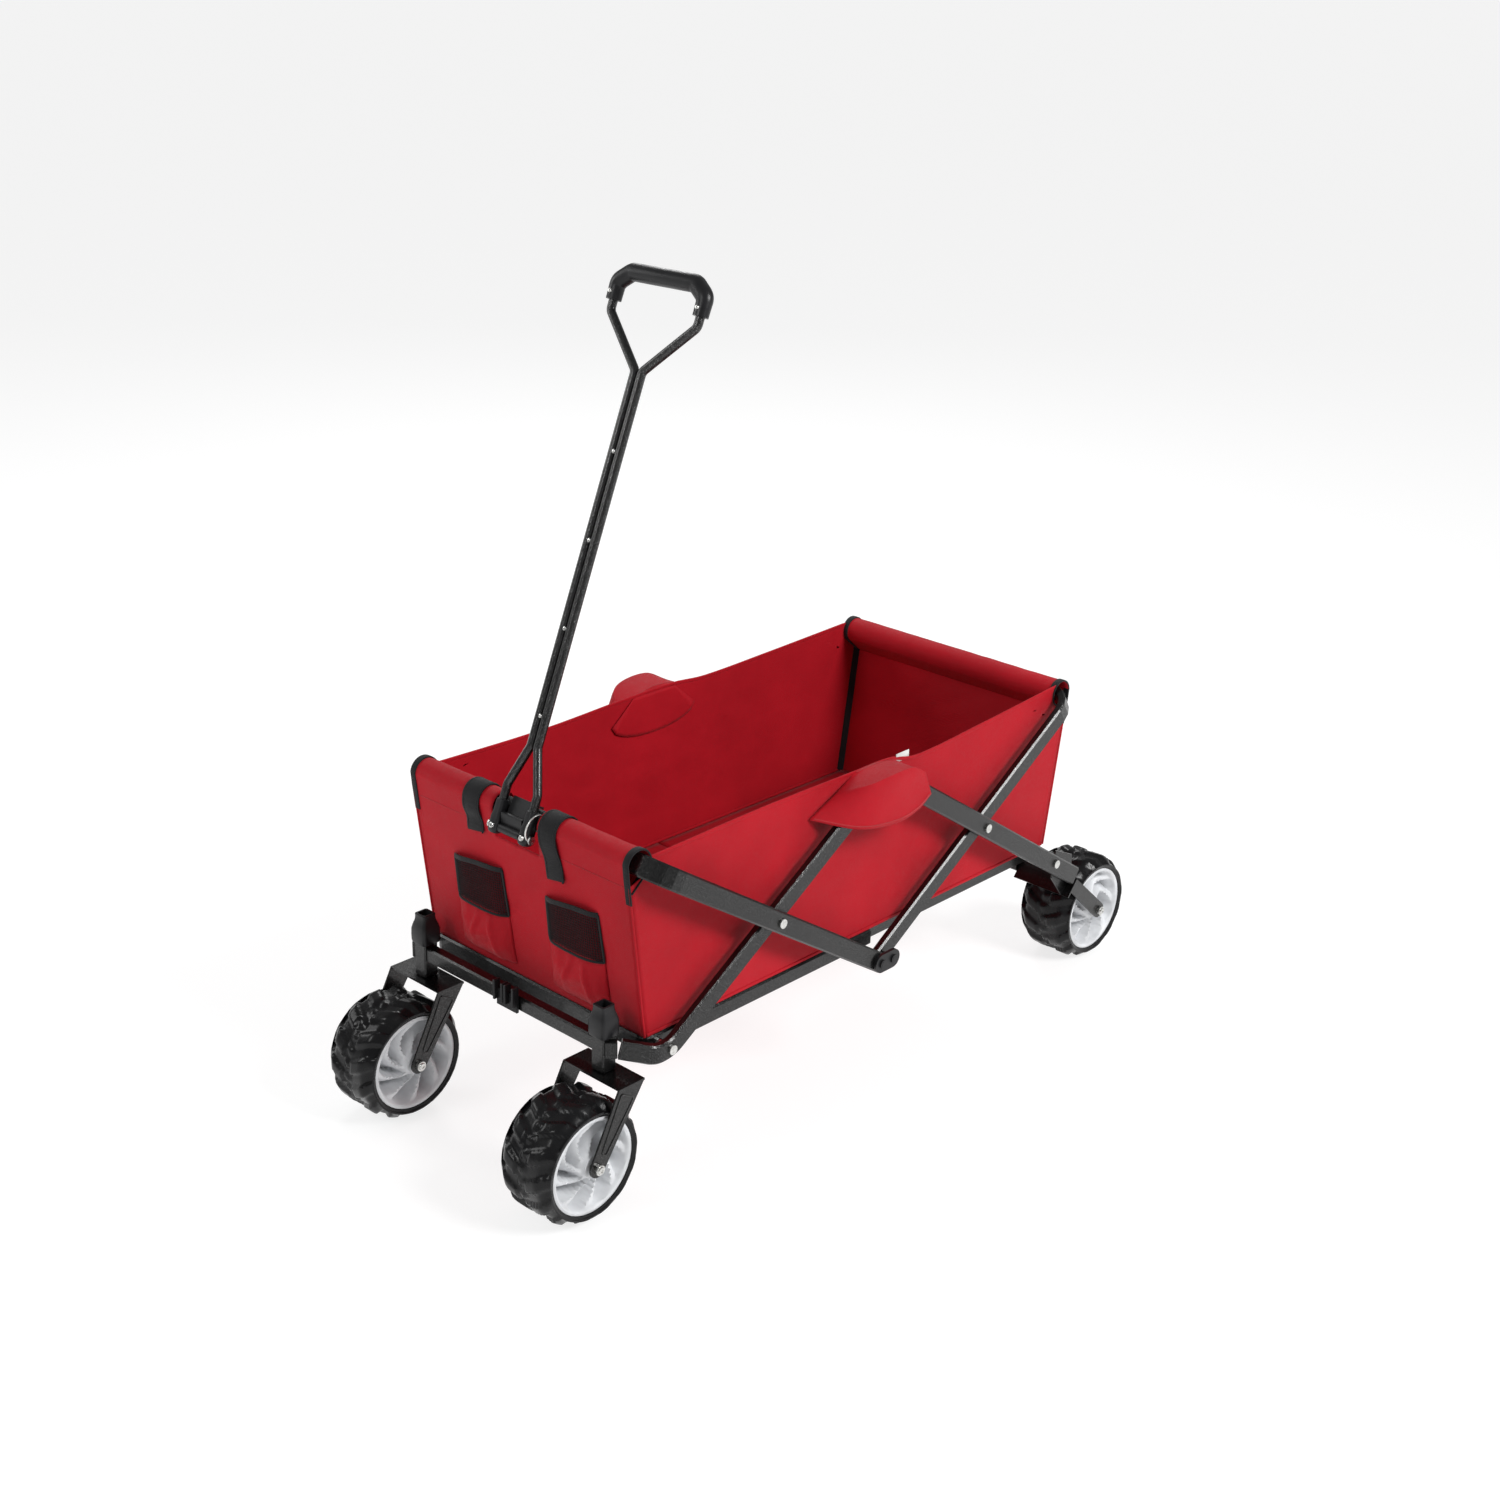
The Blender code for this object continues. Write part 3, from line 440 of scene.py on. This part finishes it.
def face_height(r, turn):
    """One face of the rim: a raised hub, curved blades in a dish, and a lip."""
    if r <= 0.0166:
        return 0.0455 if r <= 0.0150 else 0.0415
    if r >= 0.0640:
        lip = 0.0015 * smoothstep(0.0640, 0.0668, r) - 0.0010 * smoothstep(0.0668, 0.0700, r)
        return 0.0440 + lip
    dish = 0.0400 - 0.0075 * sin(pi * smoothstep(0.0166, 0.0640, r))
    swirl = turn + 1.15 * ((r - 0.0166) / 0.0474) ** 0.9
    wave = (swirl * SPOKES / (2 * pi)) % 1.0
    blade = smoothstep(0.0, 0.16, wave) * (1 - smoothstep(0.30, 0.94, wave))
    inside = smoothstep(0.0185, 0.0270, r) * (1 - smoothstep(0.0570, 0.0635, r))
    return dish - 0.0270 * inside * (1 - blade) + 0.0020 * smoothstep(0.0605, 0.0640, r)


for side_name, side in SIDES:
    for end in ("front", "rear"):
        wheel = f"{end}_wheel_{side_name}"
        wheel_pieces(wheel, middle(f"{wheel}_tyre"), wheel, side)
        bolt_body = f"caster_{side_name}" if end == "front" else "rear_lower"
        low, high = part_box(f"{wheel}_axle_bolt")
        for face, y in ((-1, low.y), (1, high.y)):
            spot = Vector(((low.x + high.x) / 2, y - face * 0.0008, (low.z + high.z) / 2))
            facing = "in" if face * side < 0 else "out"
            stud(f"{wheel}_nut_{facing}", spot, (0, face, 0), 0.0056, 0.0034, CHROME, bolt_body,
                 0.001)


# ---- fork ribs, pole sockets, handle ---------------------------------------------------------
def fork_ribs(name, tip, top, width, faces_y, body):
    """The pressed rib that follows a leg's outline, on both of its outer faces."""
    tip, top = Vector(tip), Vector(top)
    along = (top - tip).normalized()
    square = Vector((-along.z, 0, along.x))
    for index, (y, out) in enumerate(faces_y):
        low_end, high_end = tip + along * 0.020, top - along * 0.016
        low_half, high_half = square * 0.0045, square * (width / 2 - 0.007)
        loop = [low_end - low_half, high_end - high_half, high_end + high_half, low_end + low_half]
        loop = [Vector((p.x, y + out * 0.0001, p.z)) for p in loop]
        mid = (loop[0] + loop[3]) / 2
        path = rounded([mid, *loop, mid], 0.0035, 4)[:-1]
        sweep(f"{name}_rib_{index}", path, circle(0.0011, 8), STEEL, body,
              up=Y_ACROSS, closed=True)


for side_name, side in SIDES:
    low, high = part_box(f"caster_fork_{side_name}")
    post = middle(f"pole_socket_{side_name}")
    wheel_at = middle(f"front_wheel_{side_name}_tyre")
    fork_ribs(f"caster_fork_{side_name}", (wheel_at.x, 0, wheel_at.z), (post.x, 0, 0.1913), 0.040,
              ((low.y, -1), (high.y, 1)), f"caster_{side_name}")

    # flared socket: a skirt over the post, a swollen waist and a square throat
    rings = ((0.2443, 0.0150), (0.2480, 0.0158), (0.2560, 0.0160), (0.2660, 0.0157),
             (0.2735, 0.0137), (0.2790, 0.0117), (0.2845, 0.0110), (0.2881, 0.0113),
             (0.2888, 0.0106), (0.2888, 0.0082), (0.2640, 0.0080))
    verts = []
    for z, half in rings:
        section = rectangle(2 * half, 2 * half, half * 0.32)
        verts += [Vector((post.x + x, post.y + y, z)) for x, y in section]
    count = len(section)
    faces = grid_faces(len(rings), count, close_columns=True)
    faces += [[(len(rings) - 1) * count + i for i in range(count)], list(range(count))]
    socket = add(f"pole_socket_flared_{side_name}", verts, faces, BLACK, "front_lower")
    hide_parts(f"pole_socket_{side_name}")

PIVOT = middle("handle_pin")
LEAN_ANGLE = radians(21.4)
LEAN = Vector((sin(LEAN_ANGLE), 0, cos(LEAN_ANGLE)))
HANDLE_FRONT = Vector((-cos(LEAN_ANGLE), 0, sin(LEAN_ANGLE)))


def on_handle(across, height, forward=0.0):
    """A point given along the leaning handle, from its pin."""
    return PIVOT + LEAN * height + HANDLE_FRONT * forward + Vector((0, across, 0))


# grip: a D whose crossbar bellies towards the hand
GRIP_TOP, GRIP_END_Y = 0.7525, 0.0800
run = [on_handle(y, h) for y, h in ((-GRIP_END_Y, 0.712), (-GRIP_END_Y, 0.737), (-0.058, GRIP_TOP),
                                    (0.058, GRIP_TOP), (GRIP_END_Y, 0.737), (GRIP_END_Y, 0.712))]
grip_path = subdivided(rounded(run, 0.014, 7), 0.006)


def grip_scale(t):
    """Width and depth of the grip, which is thicker in its middle and thinner at its ends."""
    belly = exp(-((t - 0.5) / 0.17) ** 2)
    ends = 1 - 0.10 * (smoothstep(0.86, 1.0, t) + 1 - smoothstep(0.0, 0.14, t))
    return (0.98 * ends, (0.92 + 0.20 * belly) * ends)


grip = sweep("handle_grip_shaped", grip_path, circle(0.0125, 18), BLACK, "handle",
             up=HANDLE_FRONT, scale=grip_scale)
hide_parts("handle_grip")
SCREWS = ((-0.040, GRIP_TOP), (0.040, GRIP_TOP), (-GRIP_END_Y, 0.722), (GRIP_END_Y, 0.722))
for index, (y, h) in enumerate(SCREWS):
    stud(f"grip_screw_{index}", on_handle(y, h, 0.0108), HANDLE_FRONT, 0.0030, 0.0016, CHROME,
         "handle", 0.0008)
SHAFT = ((0.0299, 0.030), (0.0299, 0.058), (0.0065, 0.118), (0.0065, 0.628),
         (GRIP_END_Y, 0.698), (GRIP_END_Y, 0.7125))
for side_name, side in SIDES:
    run = [on_handle(side * y, h) for y, h in SHAFT]
    shaft = sweep(f"handle_shaft_{side_name}", subdivided(rounded(run, 0.012, 7), 0.03),
                  circle(0.0062, 16), HANDLE_FLECKS_AND_HIGHLIGHT, "handle", up=HANDLE_FRONT)
    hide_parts(f"handle_tube_{side_name}")
    low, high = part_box(f"handle_socket_{side_name}")
    y = (low.y + high.y) / 2
    verts, rings = [], ((-0.0105, 0.55), (-0.0085, 0.85), (-0.004, 1.0), (0.012, 1.0),
                        (0.018, 0.90), (0.034, 0.84), (0.0365, 0.80), (0.0370, 0.70))
    outline = rectangle(0.017, 0.019, 0.0055, 4)
    for h, share in rings:
        verts += [on_handle(y + a * share, h, b * share) for a, b in outline]
    count = len(outline)
    faces = grid_faces(len(rings), count, close_columns=True)
    faces += [list(range(count)), [(len(rings) - 1) * count + i for i in range(count)]]
    foot = add(f"handle_foot_{side_name}", verts, faces, BLACK, "handle")
    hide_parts(f"handle_socket_{side_name}")
    stud(f"handle_foot_bolt_{side_name}", on_handle(y - 0.001, 0.0, 0.0088), HANDLE_FRONT, 0.0042,
         0.0030, CHROME, "handle", 0.0008)
for index, h in enumerate((0.16, 0.28, 0.40, 0.52)):
    stud(f"shaft_rivet_{index}", on_handle(0.0, h, 0.0040), HANDLE_FRONT, 0.0030, 0.0022, CHROME,
         "handle")

low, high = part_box("handle_bracket")
pin_path = [PIVOT + Vector((0, y, 0)) for y in (low.y - 0.0008, 0.0, high.y + 0.0008)]
sweep("handle_pin_sleeve", pin_path, circle(0.0068, 16), BLACK, "handle")

# wire bail beside the foot
bail = []
for i in range(25):
    turn = -0.35 * pi + 1.5 * pi * i / 24
    bail.append(on_handle(-0.0445 - 0.002 * sin(turn), 0.018 + 0.019 * sin(turn),
                          0.004 + 0.015 * cos(turn)))
sweep("handle_wire_bail", bail, circle(0.0012, 8), CHROME, "handle", up=Y_ACROSS)


# ---- the tub ---------------------------------------------------------------------------------
def panel_x(z):
    """Distance of an end panel from the middle at a height."""
    return FOOT_X + (HALF_LENGTH + SLEEVE_R - FOOT_X) * (z - FLOOR_Z) / (TOP_Z - FLOOR_Z)


def wall_end(z):
    """Half length of a side wall at a height: to the panel, and clear of the top bar's sleeve."""
    if z <= TOP_Z - SLEEVE_R:
        return panel_x(z) - 0.0010
    rise = min(SLEEVE_R, abs(z - TOP_Z))
    return HALF_LENGTH - sqrt((SLEEVE_R + 0.0006) ** 2 - rise ** 2)


def keyed(value, keys):
    """A smooth curve through (value, result) keys; results are numbers or vectors."""
    count = len(keys)
    index = max(0, min(count - 2, sum(1 for k in keys[1:-1] if value >= k[0])))
    (x0, a), (x1, b) = keys[index], keys[index + 1]
    before, after = keys[max(0, index - 1)], keys[min(count - 1, index + 2)]
    t = min(1.0, max(0.0, (value - x0) / (x1 - x0)))
    slope_a = (b - before[1]) * ((x1 - x0) / (x1 - before[0]))
    slope_b = (after[1] - a) * ((x1 - x0) / (after[0] - x0))
    return (a * (2 * t ** 3 - 3 * t ** 2 + 1) + slope_a * (t ** 3 - 2 * t ** 2 + t)
            + b * (3 * t ** 2 - 2 * t ** 3) + slope_b * (t ** 3 - t ** 2))


HEMS = {-1: ((-0.465, 0.4945), (-0.235, 0.5000), (-0.035, 0.4988), (0.040, 0.4975), (0.100, 0.4850),
             (0.250, 0.4925), (0.465, 0.5080)),
        1: ((-0.465, 0.4955), (-0.245, 0.4915), (-0.060, 0.4975), (0.030, 0.4985), (0.100, 0.4930),
            (0.240, 0.4965), (0.465, 0.5050))}


def hem_height(x, side):
    """Top edge of a side wall: it lifts over the upper pivots."""
    return keyed(x, HEMS[side])


def side_wall(side, seed):
    def place(u, v):
        z0 = FLOOR_Z + 0.0010
        x = -1 + 2 * u
        z = z0 + (hem_height(x * 0.45, side) - z0) * v
        x *= wall_end(z)
        z = z0 + (hem_height(x, side) - z0) * v
        middle_share = sin(pi * v) * (1 - abs(x / 0.47) ** 4)
        sag = (0.0030 * ripple(x, z, seed, 0.16)
               + 0.0012 * ripple(x * 0.6 + z, z - x * 0.4, seed + 4, 0.035))
        lean = 0.0012 * sin(pi * u * 3) * middle_share
        return at(x, side * (WALL_Y + (sag + lean) * middle_share), z)
    return place


WALL_FLAT, PANEL_FLAT, FLOOR_FLAT = (0.925, 0.268), (0.436, 0.345), (0.447, 0.430)
FLAP_FLAT, POCKET_FLAT = (0.235, 0.135), (0.150, 0.090)


def sheet_area(obj, flat):
    """The sheet's own area, at most that of its flat size."""
    return min(surface_area(obj), flat[0] * flat[1])


for index, (side_name, side) in enumerate(SIDES):
    wall = cloth(f"tub_wall_{side_name}", side_wall(side, 3.0 + 11 * index), 110, 34, RED,
                 "upper_links")
    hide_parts(f"tub_side_{side_name}")
    sheet_area(wall, WALL_FLAT)
    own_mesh(wall)

    hem_path = [at(x, side * (WALL_Y + 0.0002), hem_height(x, side) - 0.0026)
                for x in [-0.440 + 0.880 * i / 60 for i in range(61)]]
    hem = sweep(f"tub_hem_{side_name}", hem_path, rectangle(0.0030, 0.0060, 0.0014), RED,
                "upper_links")
    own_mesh(hem)
    seam_path = [at(x, side * (WALL_Y + 0.0002), FLOOR_Z + 0.0032)
                 for x in [-0.445 + 0.890 * i / 50 for i in range(51)]]
    seam = sweep(f"tub_foot_binding_{side_name}", seam_path, rectangle(0.0030, 0.0050, 0.0012), RED,
                 "upper_links")
    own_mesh(seam)


SEAM_Z = TOP_Z - 0.038       # where a sleeve's inner side is sewn down to the panel
SEAM_X = panel_x(SEAM_Z)
SEAM_FAR = hypot(SEAM_X - HALF_LENGTH, SEAM_Z - TOP_Z)
SLEEVE_TURN = 2 * pi + atan2(SEAM_Z - TOP_Z, SEAM_X - HALF_LENGTH) - acos(SLEEVE_R / SEAM_FAR)


def sleeve_line(share, proud=0.0):
    """A sleeve's section from the bar's outer side over its top and down the inside to the seam."""
    if share < 0.8:
        turn = share / 0.8 * SLEEVE_TURN
        return HALF_LENGTH + (SLEEVE_R + proud) * cos(turn), TOP_Z + (SLEEVE_R + proud) * sin(turn)
    t = (share - 0.8) / 0.2
    x0 = HALF_LENGTH + SLEEVE_R * cos(SLEEVE_TURN)
    z0 = TOP_Z + SLEEVE_R * sin(SLEEVE_TURN)
    return x0 + (SEAM_X - 0.0012 - x0) * t - proud * 0.8, z0 + (SEAM_Z - z0) * t


def panel_half(z):
    """Half width of an end panel: the sleeve at its top is a little wider."""
    return WALL_Y - 0.0008 + (SLEEVE_HALF - WALL_Y + 0.0008) * smoothstep(0.465, TOP_Z, z)


def end_panel(end, seed):
    """A panel's sheet: up the outside from its foot, round the top bar, down to the seam inside."""
    def place(u, v):
        y = -1 + 2 * v
        if u < 0.5:
            share = u / 0.5
            z = FLOOR_Z + 0.0010 + (TOP_Z - FLOOR_Z - 0.0010) * share
            x = panel_x(z)
            belly = sin(pi * share) * (1 - y ** 4)
            x += (0.0024 * ripple(y * 0.2, z, seed, 0.10)
                  + 0.0014 * ripple(y * 0.2 + z, z, seed + 2, 0.035)) * belly
            half = panel_half(z)
        else:
            share = (u - 0.5) / 0.5
            x, z = sleeve_line(share)
            pucker = 0.0007 * ripple(y * 0.25, share * 0.05, seed + 6, 0.03)
            pucker *= sin(pi * min(1.0, share * 1.2))
            x, z = x + pucker * cos(share * 3), z + pucker * sin(share * 3)
            half = SLEEVE_HALF
        return at(end * x, y * half, z)
    return place


for end_name, end in (("front", -1), ("rear", 1)):
    body = f"{end_name}_panel"
    panel = cloth(f"tub_{end_name}_cloth", end_panel(end, 7.0 + end), 96, 64, RED, body)
    if end < 0:               # the cut-out for the handle's foot
        bm = bmesh.new()
        bm.from_mesh(panel.data)
        doomed = [f for f in bm.faces
                  if abs(f.calc_center_median().y) < 0.046 and f.calc_center_median().z > 0.447]
        bmesh.ops.delete(bm, geom=doomed, context="FACES")
        bm.to_mesh(panel.data)
        bm.free()
    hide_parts(f"tub_{end_name}_panel")
    area = surface_area(panel)

    # the stitches along the sleeve's lower edge, left out at the cut-out
    z = TOP_Z - 0.030
    verts, faces = [], []
    for i in range(62):
        y0 = -0.205 + 0.41 * i / 62
        if end < 0 and abs(y0 + 0.0033) < 0.052:
            continue
        for y in (y0, y0 + 0.0046):
            for dx, dz in ((0.0, -0.0005), (0.0010, -0.0005), (0.0010, 0.0005), (0.0, 0.0005)):
                verts.append(at(end * (panel_x(z) + dx), y, z + dz))
        n = len(verts) - 8
        faces += [[n, n + 1, n + 2, n + 3], [n + 4, n + 5, n + 6, n + 7]]
        faces += [[n + a, n + (a + 1) % 4, n + 4 + (a + 1) % 4, n + 4 + a] for a in range(4)]
    add(f"{end_name}_sleeve_stitches", verts, faces, THREAD, body, smooth=False)

    # bound sleeve ends, with a tail down the corner
    for side_name, side in SIDES:
        tail = [(panel_x(z) + 0.0008, z) for z in (0.4360, 0.4450, 0.4550, 0.4650, 0.4750)]
        ring = [sleeve_line(i / 30, 0.0009) for i in range(1, 31)]
        path = [at(end * x, side * (SLEEVE_HALF - 0.0042), z) for x, z in tail + ring]
        sweep(f"{end_name}_sleeve_binding_{side_name}", path, rectangle(0.0026, 0.0105, 0.0010),
              BINDING, body, up=Y_ACROSS)
        if end > 0:
            inner = [at(panel_x(z) - 0.0035, side * (WALL_Y - 0.0045), z)
                     for z in [FLOOR_Z + 0.004 + (0.470 - FLOOR_Z - 0.004) * i / 12
                               for i in range(13)]]
            sweep(f"rear_corner_binding_{side_name}", inner, rectangle(0.0120, 0.0016, 0.0006),
                  BINDING, body, up=Vector((1, side, 0)).normalized())

    # piping down the corner seams
    for side_name, side in SIDES:
        path = [at(end * (panel_x(z) + 0.0006), side * (WALL_Y + 0.0004), z)
                for z in [FLOOR_Z + 0.002 + (0.462 - FLOOR_Z - 0.002) * i / 14 for i in range(15)]]
        sweep(f"{end_name}_corner_piping_{side_name}", path, circle(0.0016, 8), RED, body,
              up=Y_ACROSS)


def floor_point(u, v, end):
    x = end * (0.0008 + (FOOT_X - 0.0022) * u)
    y = (-1 + 2 * v) * (WALL_Y - 0.0008)
    edge = max(0.0, (1 - (2 * v - 1) ** 6) * sin(pi * min(1.0, 0.04 + u)))
    return at(x, y, FLOOR_Z + 0.0012 + 0.0012 * (0.5 + 0.5 * ripple(x, y, 5.0, 0.12)) * edge)


for end_name, end in (("front", -1), ("rear", 1)):
    # the floor takes the darker red copy: painted shade inside the tub
    floor = cloth(f"tub_floor_cloth_{end_name}", partial(floor_point, end=end), 40, 36, RED_PAINTED_SHADE,
                  f"{end_name}_base")
    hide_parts(f"tub_floor_{end_name}")
    sheet_area(floor, FLOOR_FLAT)

# flaps over the upper pivots: sewn to the wall down their front edge, lying out over the links
FLAP_HEM = ((0.0, Vector((-0.036, 0.2168, 0.4984))), (0.5, Vector((0.002, 0.2168, 0.4990))),
            (1.0, Vector((0.042, 0.2168, 0.4950))))
FLAP_BEND = ((0.0, Vector((-0.086, 0.2190, 0.4770))), (0.28, Vector((-0.056, 0.2590, 0.4950))),
             (0.48, Vector((-0.022, 0.2696, 0.5022))), (0.74, Vector((0.026, 0.2698, 0.5012))),
             (1.0, Vector((0.062, 0.2640, 0.4830))))
FLAP_EDGE = ((0.0, Vector((-0.138, 0.2186, 0.4540))), (0.28, Vector((-0.078, 0.2610, 0.4350))),
             (0.58, Vector((-0.006, 0.2702, 0.4262))), (0.82, Vector((0.042, 0.2702, 0.4320))),
             (1.0, Vector((0.072, 0.2690, 0.4480))))


def flap_point(u, v, side):
    hem, bend, edge = keyed(u, FLAP_HEM), keyed(u, FLAP_BEND), keyed(u, FLAP_EDGE)
    share = 0.45              # where the bend lies between the hem and the free edge
    if v < share:
        point = hem.lerp(bend, v / share)
        point.z += 0.0008 * sin(pi * v / share) * sin(pi * u)
        point.y -= 0.0014 * smoothstep(0.85, 1.0, v / share) * sin(pi * u)
    else:
        t = (v - share) / (1 - share)
        point = bend.lerp(edge, t)
        point.y -= 0.0014 * (1 - smoothstep(0.0, 0.12, t)) * sin(pi * u)
        wave = 0.5 + 0.5 * ripple(point.x, point.z, 9.0 + side, 0.05)
        point.y -= 0.0007 * wave * t * sin(pi * u)
    return at(point.x, side * point.y, point.z)


for side_name, side in SIDES:
    flap = cloth(f"pivot_flap_cloth_{side_name}", partial(flap_point, side=side), 44, 30, RED,
                 "upper_links", 0.0009)
    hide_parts(f"pivot_flap_{side_name}")
    sheet_area(flap, FLAP_FLAT)
    for line, v in enumerate((0.035, 0.965)):
        proud = Vector((0, side * 0.0004, 0.0002))
        run = [flap_point(0.02 + 0.96 * i / 40, v, side) + proud for i in range(41)]
        seam = sweep(f"pivot_flap_seam_{side_name}_{line}", run, circle(0.0011, 6), THREAD,
                     "upper_links", up=Vector((0, side * 0.6, 0.8)))
        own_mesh(seam)
    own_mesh(flap)

label = [at(x, -(WALL_Y + 0.0016 + 0.0008 * sin(60 * x)), z)
         for z in (0.4860, 0.4990) for x in [0.052 + 0.030 * i / 6 for i in range(7)]]
tag = add("blank_side_label", label, grid_faces(2, 7), LABEL, "upper_links")
thick = tag.modifiers.new("thickness", "SOLIDIFY")
thick.thickness = 0.0008


# ---- pockets and straps on the front panel ---------------------------------------------------
def pocket(side_name, y_in, y_out):
    """A cloth pouch with a bound net window above and a pleated lower half."""
    top, sill, foot = 0.392, 0.326, 0.250
    mid_y, half = (y_in + y_out) / 2, abs(y_out - y_in) / 2

    def lower(u, v):
        y = -1 + 2 * u
        z = foot + (sill - foot) * v
        puff = 0.012 * (1 - y ** 4) * sin(pi * (0.12 + 0.80 * v)) ** 0.8
        pleat = (0.0045 * exp(-((y - 0.45 * (1 - v)) / 0.10) ** 2)
                 + 0.0040 * exp(-((y + 0.55 - 0.2 * v) / 0.09) ** 2))
        pleat *= sin(pi * min(1, v + 0.05))
        crease = 0.0014 * ripple(y * 0.06, z, 21.0 + mid_y, 0.018)
        folds = 0.0050 * (0.5 + ripple(y * 0.05 + 0.6 * z, z, 31.0 + mid_y, 0.030))
        folds *= (1 - y ** 4) * sin(pi * v) ** 0.7
        return at(-(panel_x(z) + 0.0012 + puff + pleat + folds + crease * (1 - y ** 4)),
                  mid_y + y * half * (1.0 - 0.06 * v), z)

    pouch = cloth(f"pocket_pouch_{side_name}", lower, 42, 30, RED, "front_panel", 0.0009)
    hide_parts(f"front_pocket_{side_name}")
    sheet_area(pouch, POCKET_FLAT)

    def window(u, v):
        y = -1 + 2 * u
        z = sill + (top - sill) * v + 0.004 * (1 - y * y) * v
        puff = 0.0125 * (1 - y ** 4) * (1 - 0.35 * v)
        sag = 0.0012 * ripple(y * 0.05, z, 41.0 + mid_y, 0.02) * (1 - y ** 4)
        return at(-(panel_x(z) + 0.0014 + puff + sag), mid_y + y * half * (0.94 - 0.06 * v),
                  z - 0.005 * y * v)

    def behind(u, v):
        return window(u, v) + Vector((0.006 * (1 - (2 * u - 1) ** 4), 0, 0))

    net = cloth(f"pocket_net_{side_name}", window, 34, 20, NET, "front_panel")
    net.modifiers.clear()
    strands = net.modifiers.new("strands", "WIREFRAME")
    strands.thickness = 0.0010
    strands.use_boundary = True
    edges = ([window(i / 20, 1) for i in range(21)], [window(i / 20, 0) for i in range(21)],
             [window(0, i / 10) for i in range(11)], [window(1, i / 10) for i in range(11)])
    for k, path in enumerate(edges):
        sweep(f"pocket_binding_{side_name}_{k}", [p + Vector((-0.0008, 0, 0)) for p in path],
              rectangle(0.0020, 0.0070 if k == 0 else 0.0036, 0.0008), BINDING, "front_panel",
              up=Z_UP if k < 2 else Y_ACROSS)
    # a dark sheet just behind the net: painted shade for the pocket's inside
    cloth(f"pocket_backing_{side_name}", behind, 12, 8, POCKET_PAINTED_SHADE, "front_panel", 0.0006)


pocket("right", 0.034, 0.147)
pocket("left", -0.042, -0.157)


def strap(name, y, low_front, lean, width):
    """Webbing laid over the bar: up from inside, over the sleeve and down the outside."""
    path = [at(-x, y, z) for x, z in [sleeve_line(1 - i / 36, 0.0022) for i in range(5, 36)]]
    drops = [TOP_Z - 0.004 - (TOP_Z - 0.004 - low_front) * k / 8 for k in range(9)]
    path += [at(-(panel_x(z) + 0.0030 + 0.0012 * sin(k)), y + lean * k / 8, z)
             for k, z in enumerate(drops)]
    sweep(name, path, rectangle(0.0018, width, 0.0005), BINDING, "front_panel",
          up=Y_ACROSS)
    for k, share in enumerate((-0.40, 0.40)):
        edge = [p + Vector((0, share * width, 0)) for p in path[4:]]
        sweep(f"{name}_selvedge_{k}", edge, circle(0.0013, 6), BINDING, "front_panel",
              up=Y_ACROSS)


strap("bar_strap_right", 0.088, 0.446, -0.006, 0.034)
strap("bar_strap_left", -0.066, 0.424, -0.010, 0.034)



def patch_point(u, v, side):
    """The sewn patch inside a wall, behind the upper pivot."""
    spread = -1 + 2 * u
    top = hem_height(0.045 * spread, side) - 0.004
    low = 0.4560 - 0.0280 * sqrt(max(0.0, 1 - spread ** 2))
    x = -0.012 + (0.045 + 0.045 * v) * spread
    return at(x, side * (WALL_Y - 0.0024 - 0.0006 * sin(pi * v)), top + (low - top) * v)


for side_name, side in SIDES:
    patch = cloth(f"pivot_patch_{side_name}", partial(patch_point, side=side), 24, 12, RED,
                  "upper_links", 0.0008)
    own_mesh(patch)

# bracket: a wide plate that joins the two feet, in front of the bar
plate_path = [PIVOT + Vector((0.0035, y, 0.012)) for y in (-0.0205, 0.0, 0.0205)]
sweep("handle_foot_crossplate", plate_path, rectangle(0.0060, 0.0200, 0.0015), BLACK, "front_top")

# ---- camera, floor and light -----------------------------------------------------------------
cam_data = bpy.data.cameras.new("camera")
cam_data.lens, cam_data.sensor_width = 49.75, 36.0
camera = bpy.data.objects.new("camera", cam_data)
heading, pitch, roll = radians(-47.676), radians(21.827), radians(1.769)
forward = Vector((-sin(heading) * cos(pitch), cos(heading) * cos(pitch), -sin(pitch)))
right = forward.cross(Vector((0, 0, 1))).normalized()
up = right.cross(forward)
right, up = right * cos(roll) + up * sin(roll), up * cos(roll) - right * sin(roll)
camera.matrix_world = Matrix((right, up, -forward)).transposed().to_4x4()
camera.matrix_world.translation = at(-2.1354, -1.9243, 1.6072)
SCENE.collection.objects.link(camera)
SCENE.camera = camera

bpy.ops.mesh.primitive_plane_add(size=400, location=(0, 0, -0.0002))
ground = bpy.context.object
ground.name = "studio_floor"
ground.data.materials.append(shader("studio_white", (0.30, 0.30, 0.30), 0.7,
                                    Emission_Color=(1, 1, 1, 1), Emission_Strength=0.78)[0])


def area_light(name, place, target, size, power):
    data = bpy.data.lights.new(name, "AREA")
    data.shape, data.size, data.energy = "DISK", size, power
    lamp = bpy.data.objects.new(name, data)
    lamp.location = place
    lamp.rotation_euler = (Vector(target) - Vector(place)).to_track_quat("-Z", "Y").to_euler()
    SCENE.collection.objects.link(lamp)


area_light("key_light", (0.6, -3.4, 2.9), (0, 0, 0.3), 1.5, 150)
area_light("front_light", (-3.8, 0.6, 2.8), (0, 0, 0.4), 1.2, 34)
area_light("back_light", (2.6, 2.8, 3.0), (0, 0, 0.3), 1.8, 45)
area_light("far_light", (-1.8, 3.4, 2.2), (0, 0, 0.3), 1.8, 30)
world = bpy.data.worlds.new("studio")
world.use_nodes = True
world.node_tree.nodes["Background"].inputs["Color"].default_value = (1, 1, 1, 1)
world.node_tree.nodes["Background"].inputs["Strength"].default_value = 0.30
SCENE.world = world
SCENE.view_settings.view_transform = "Standard"
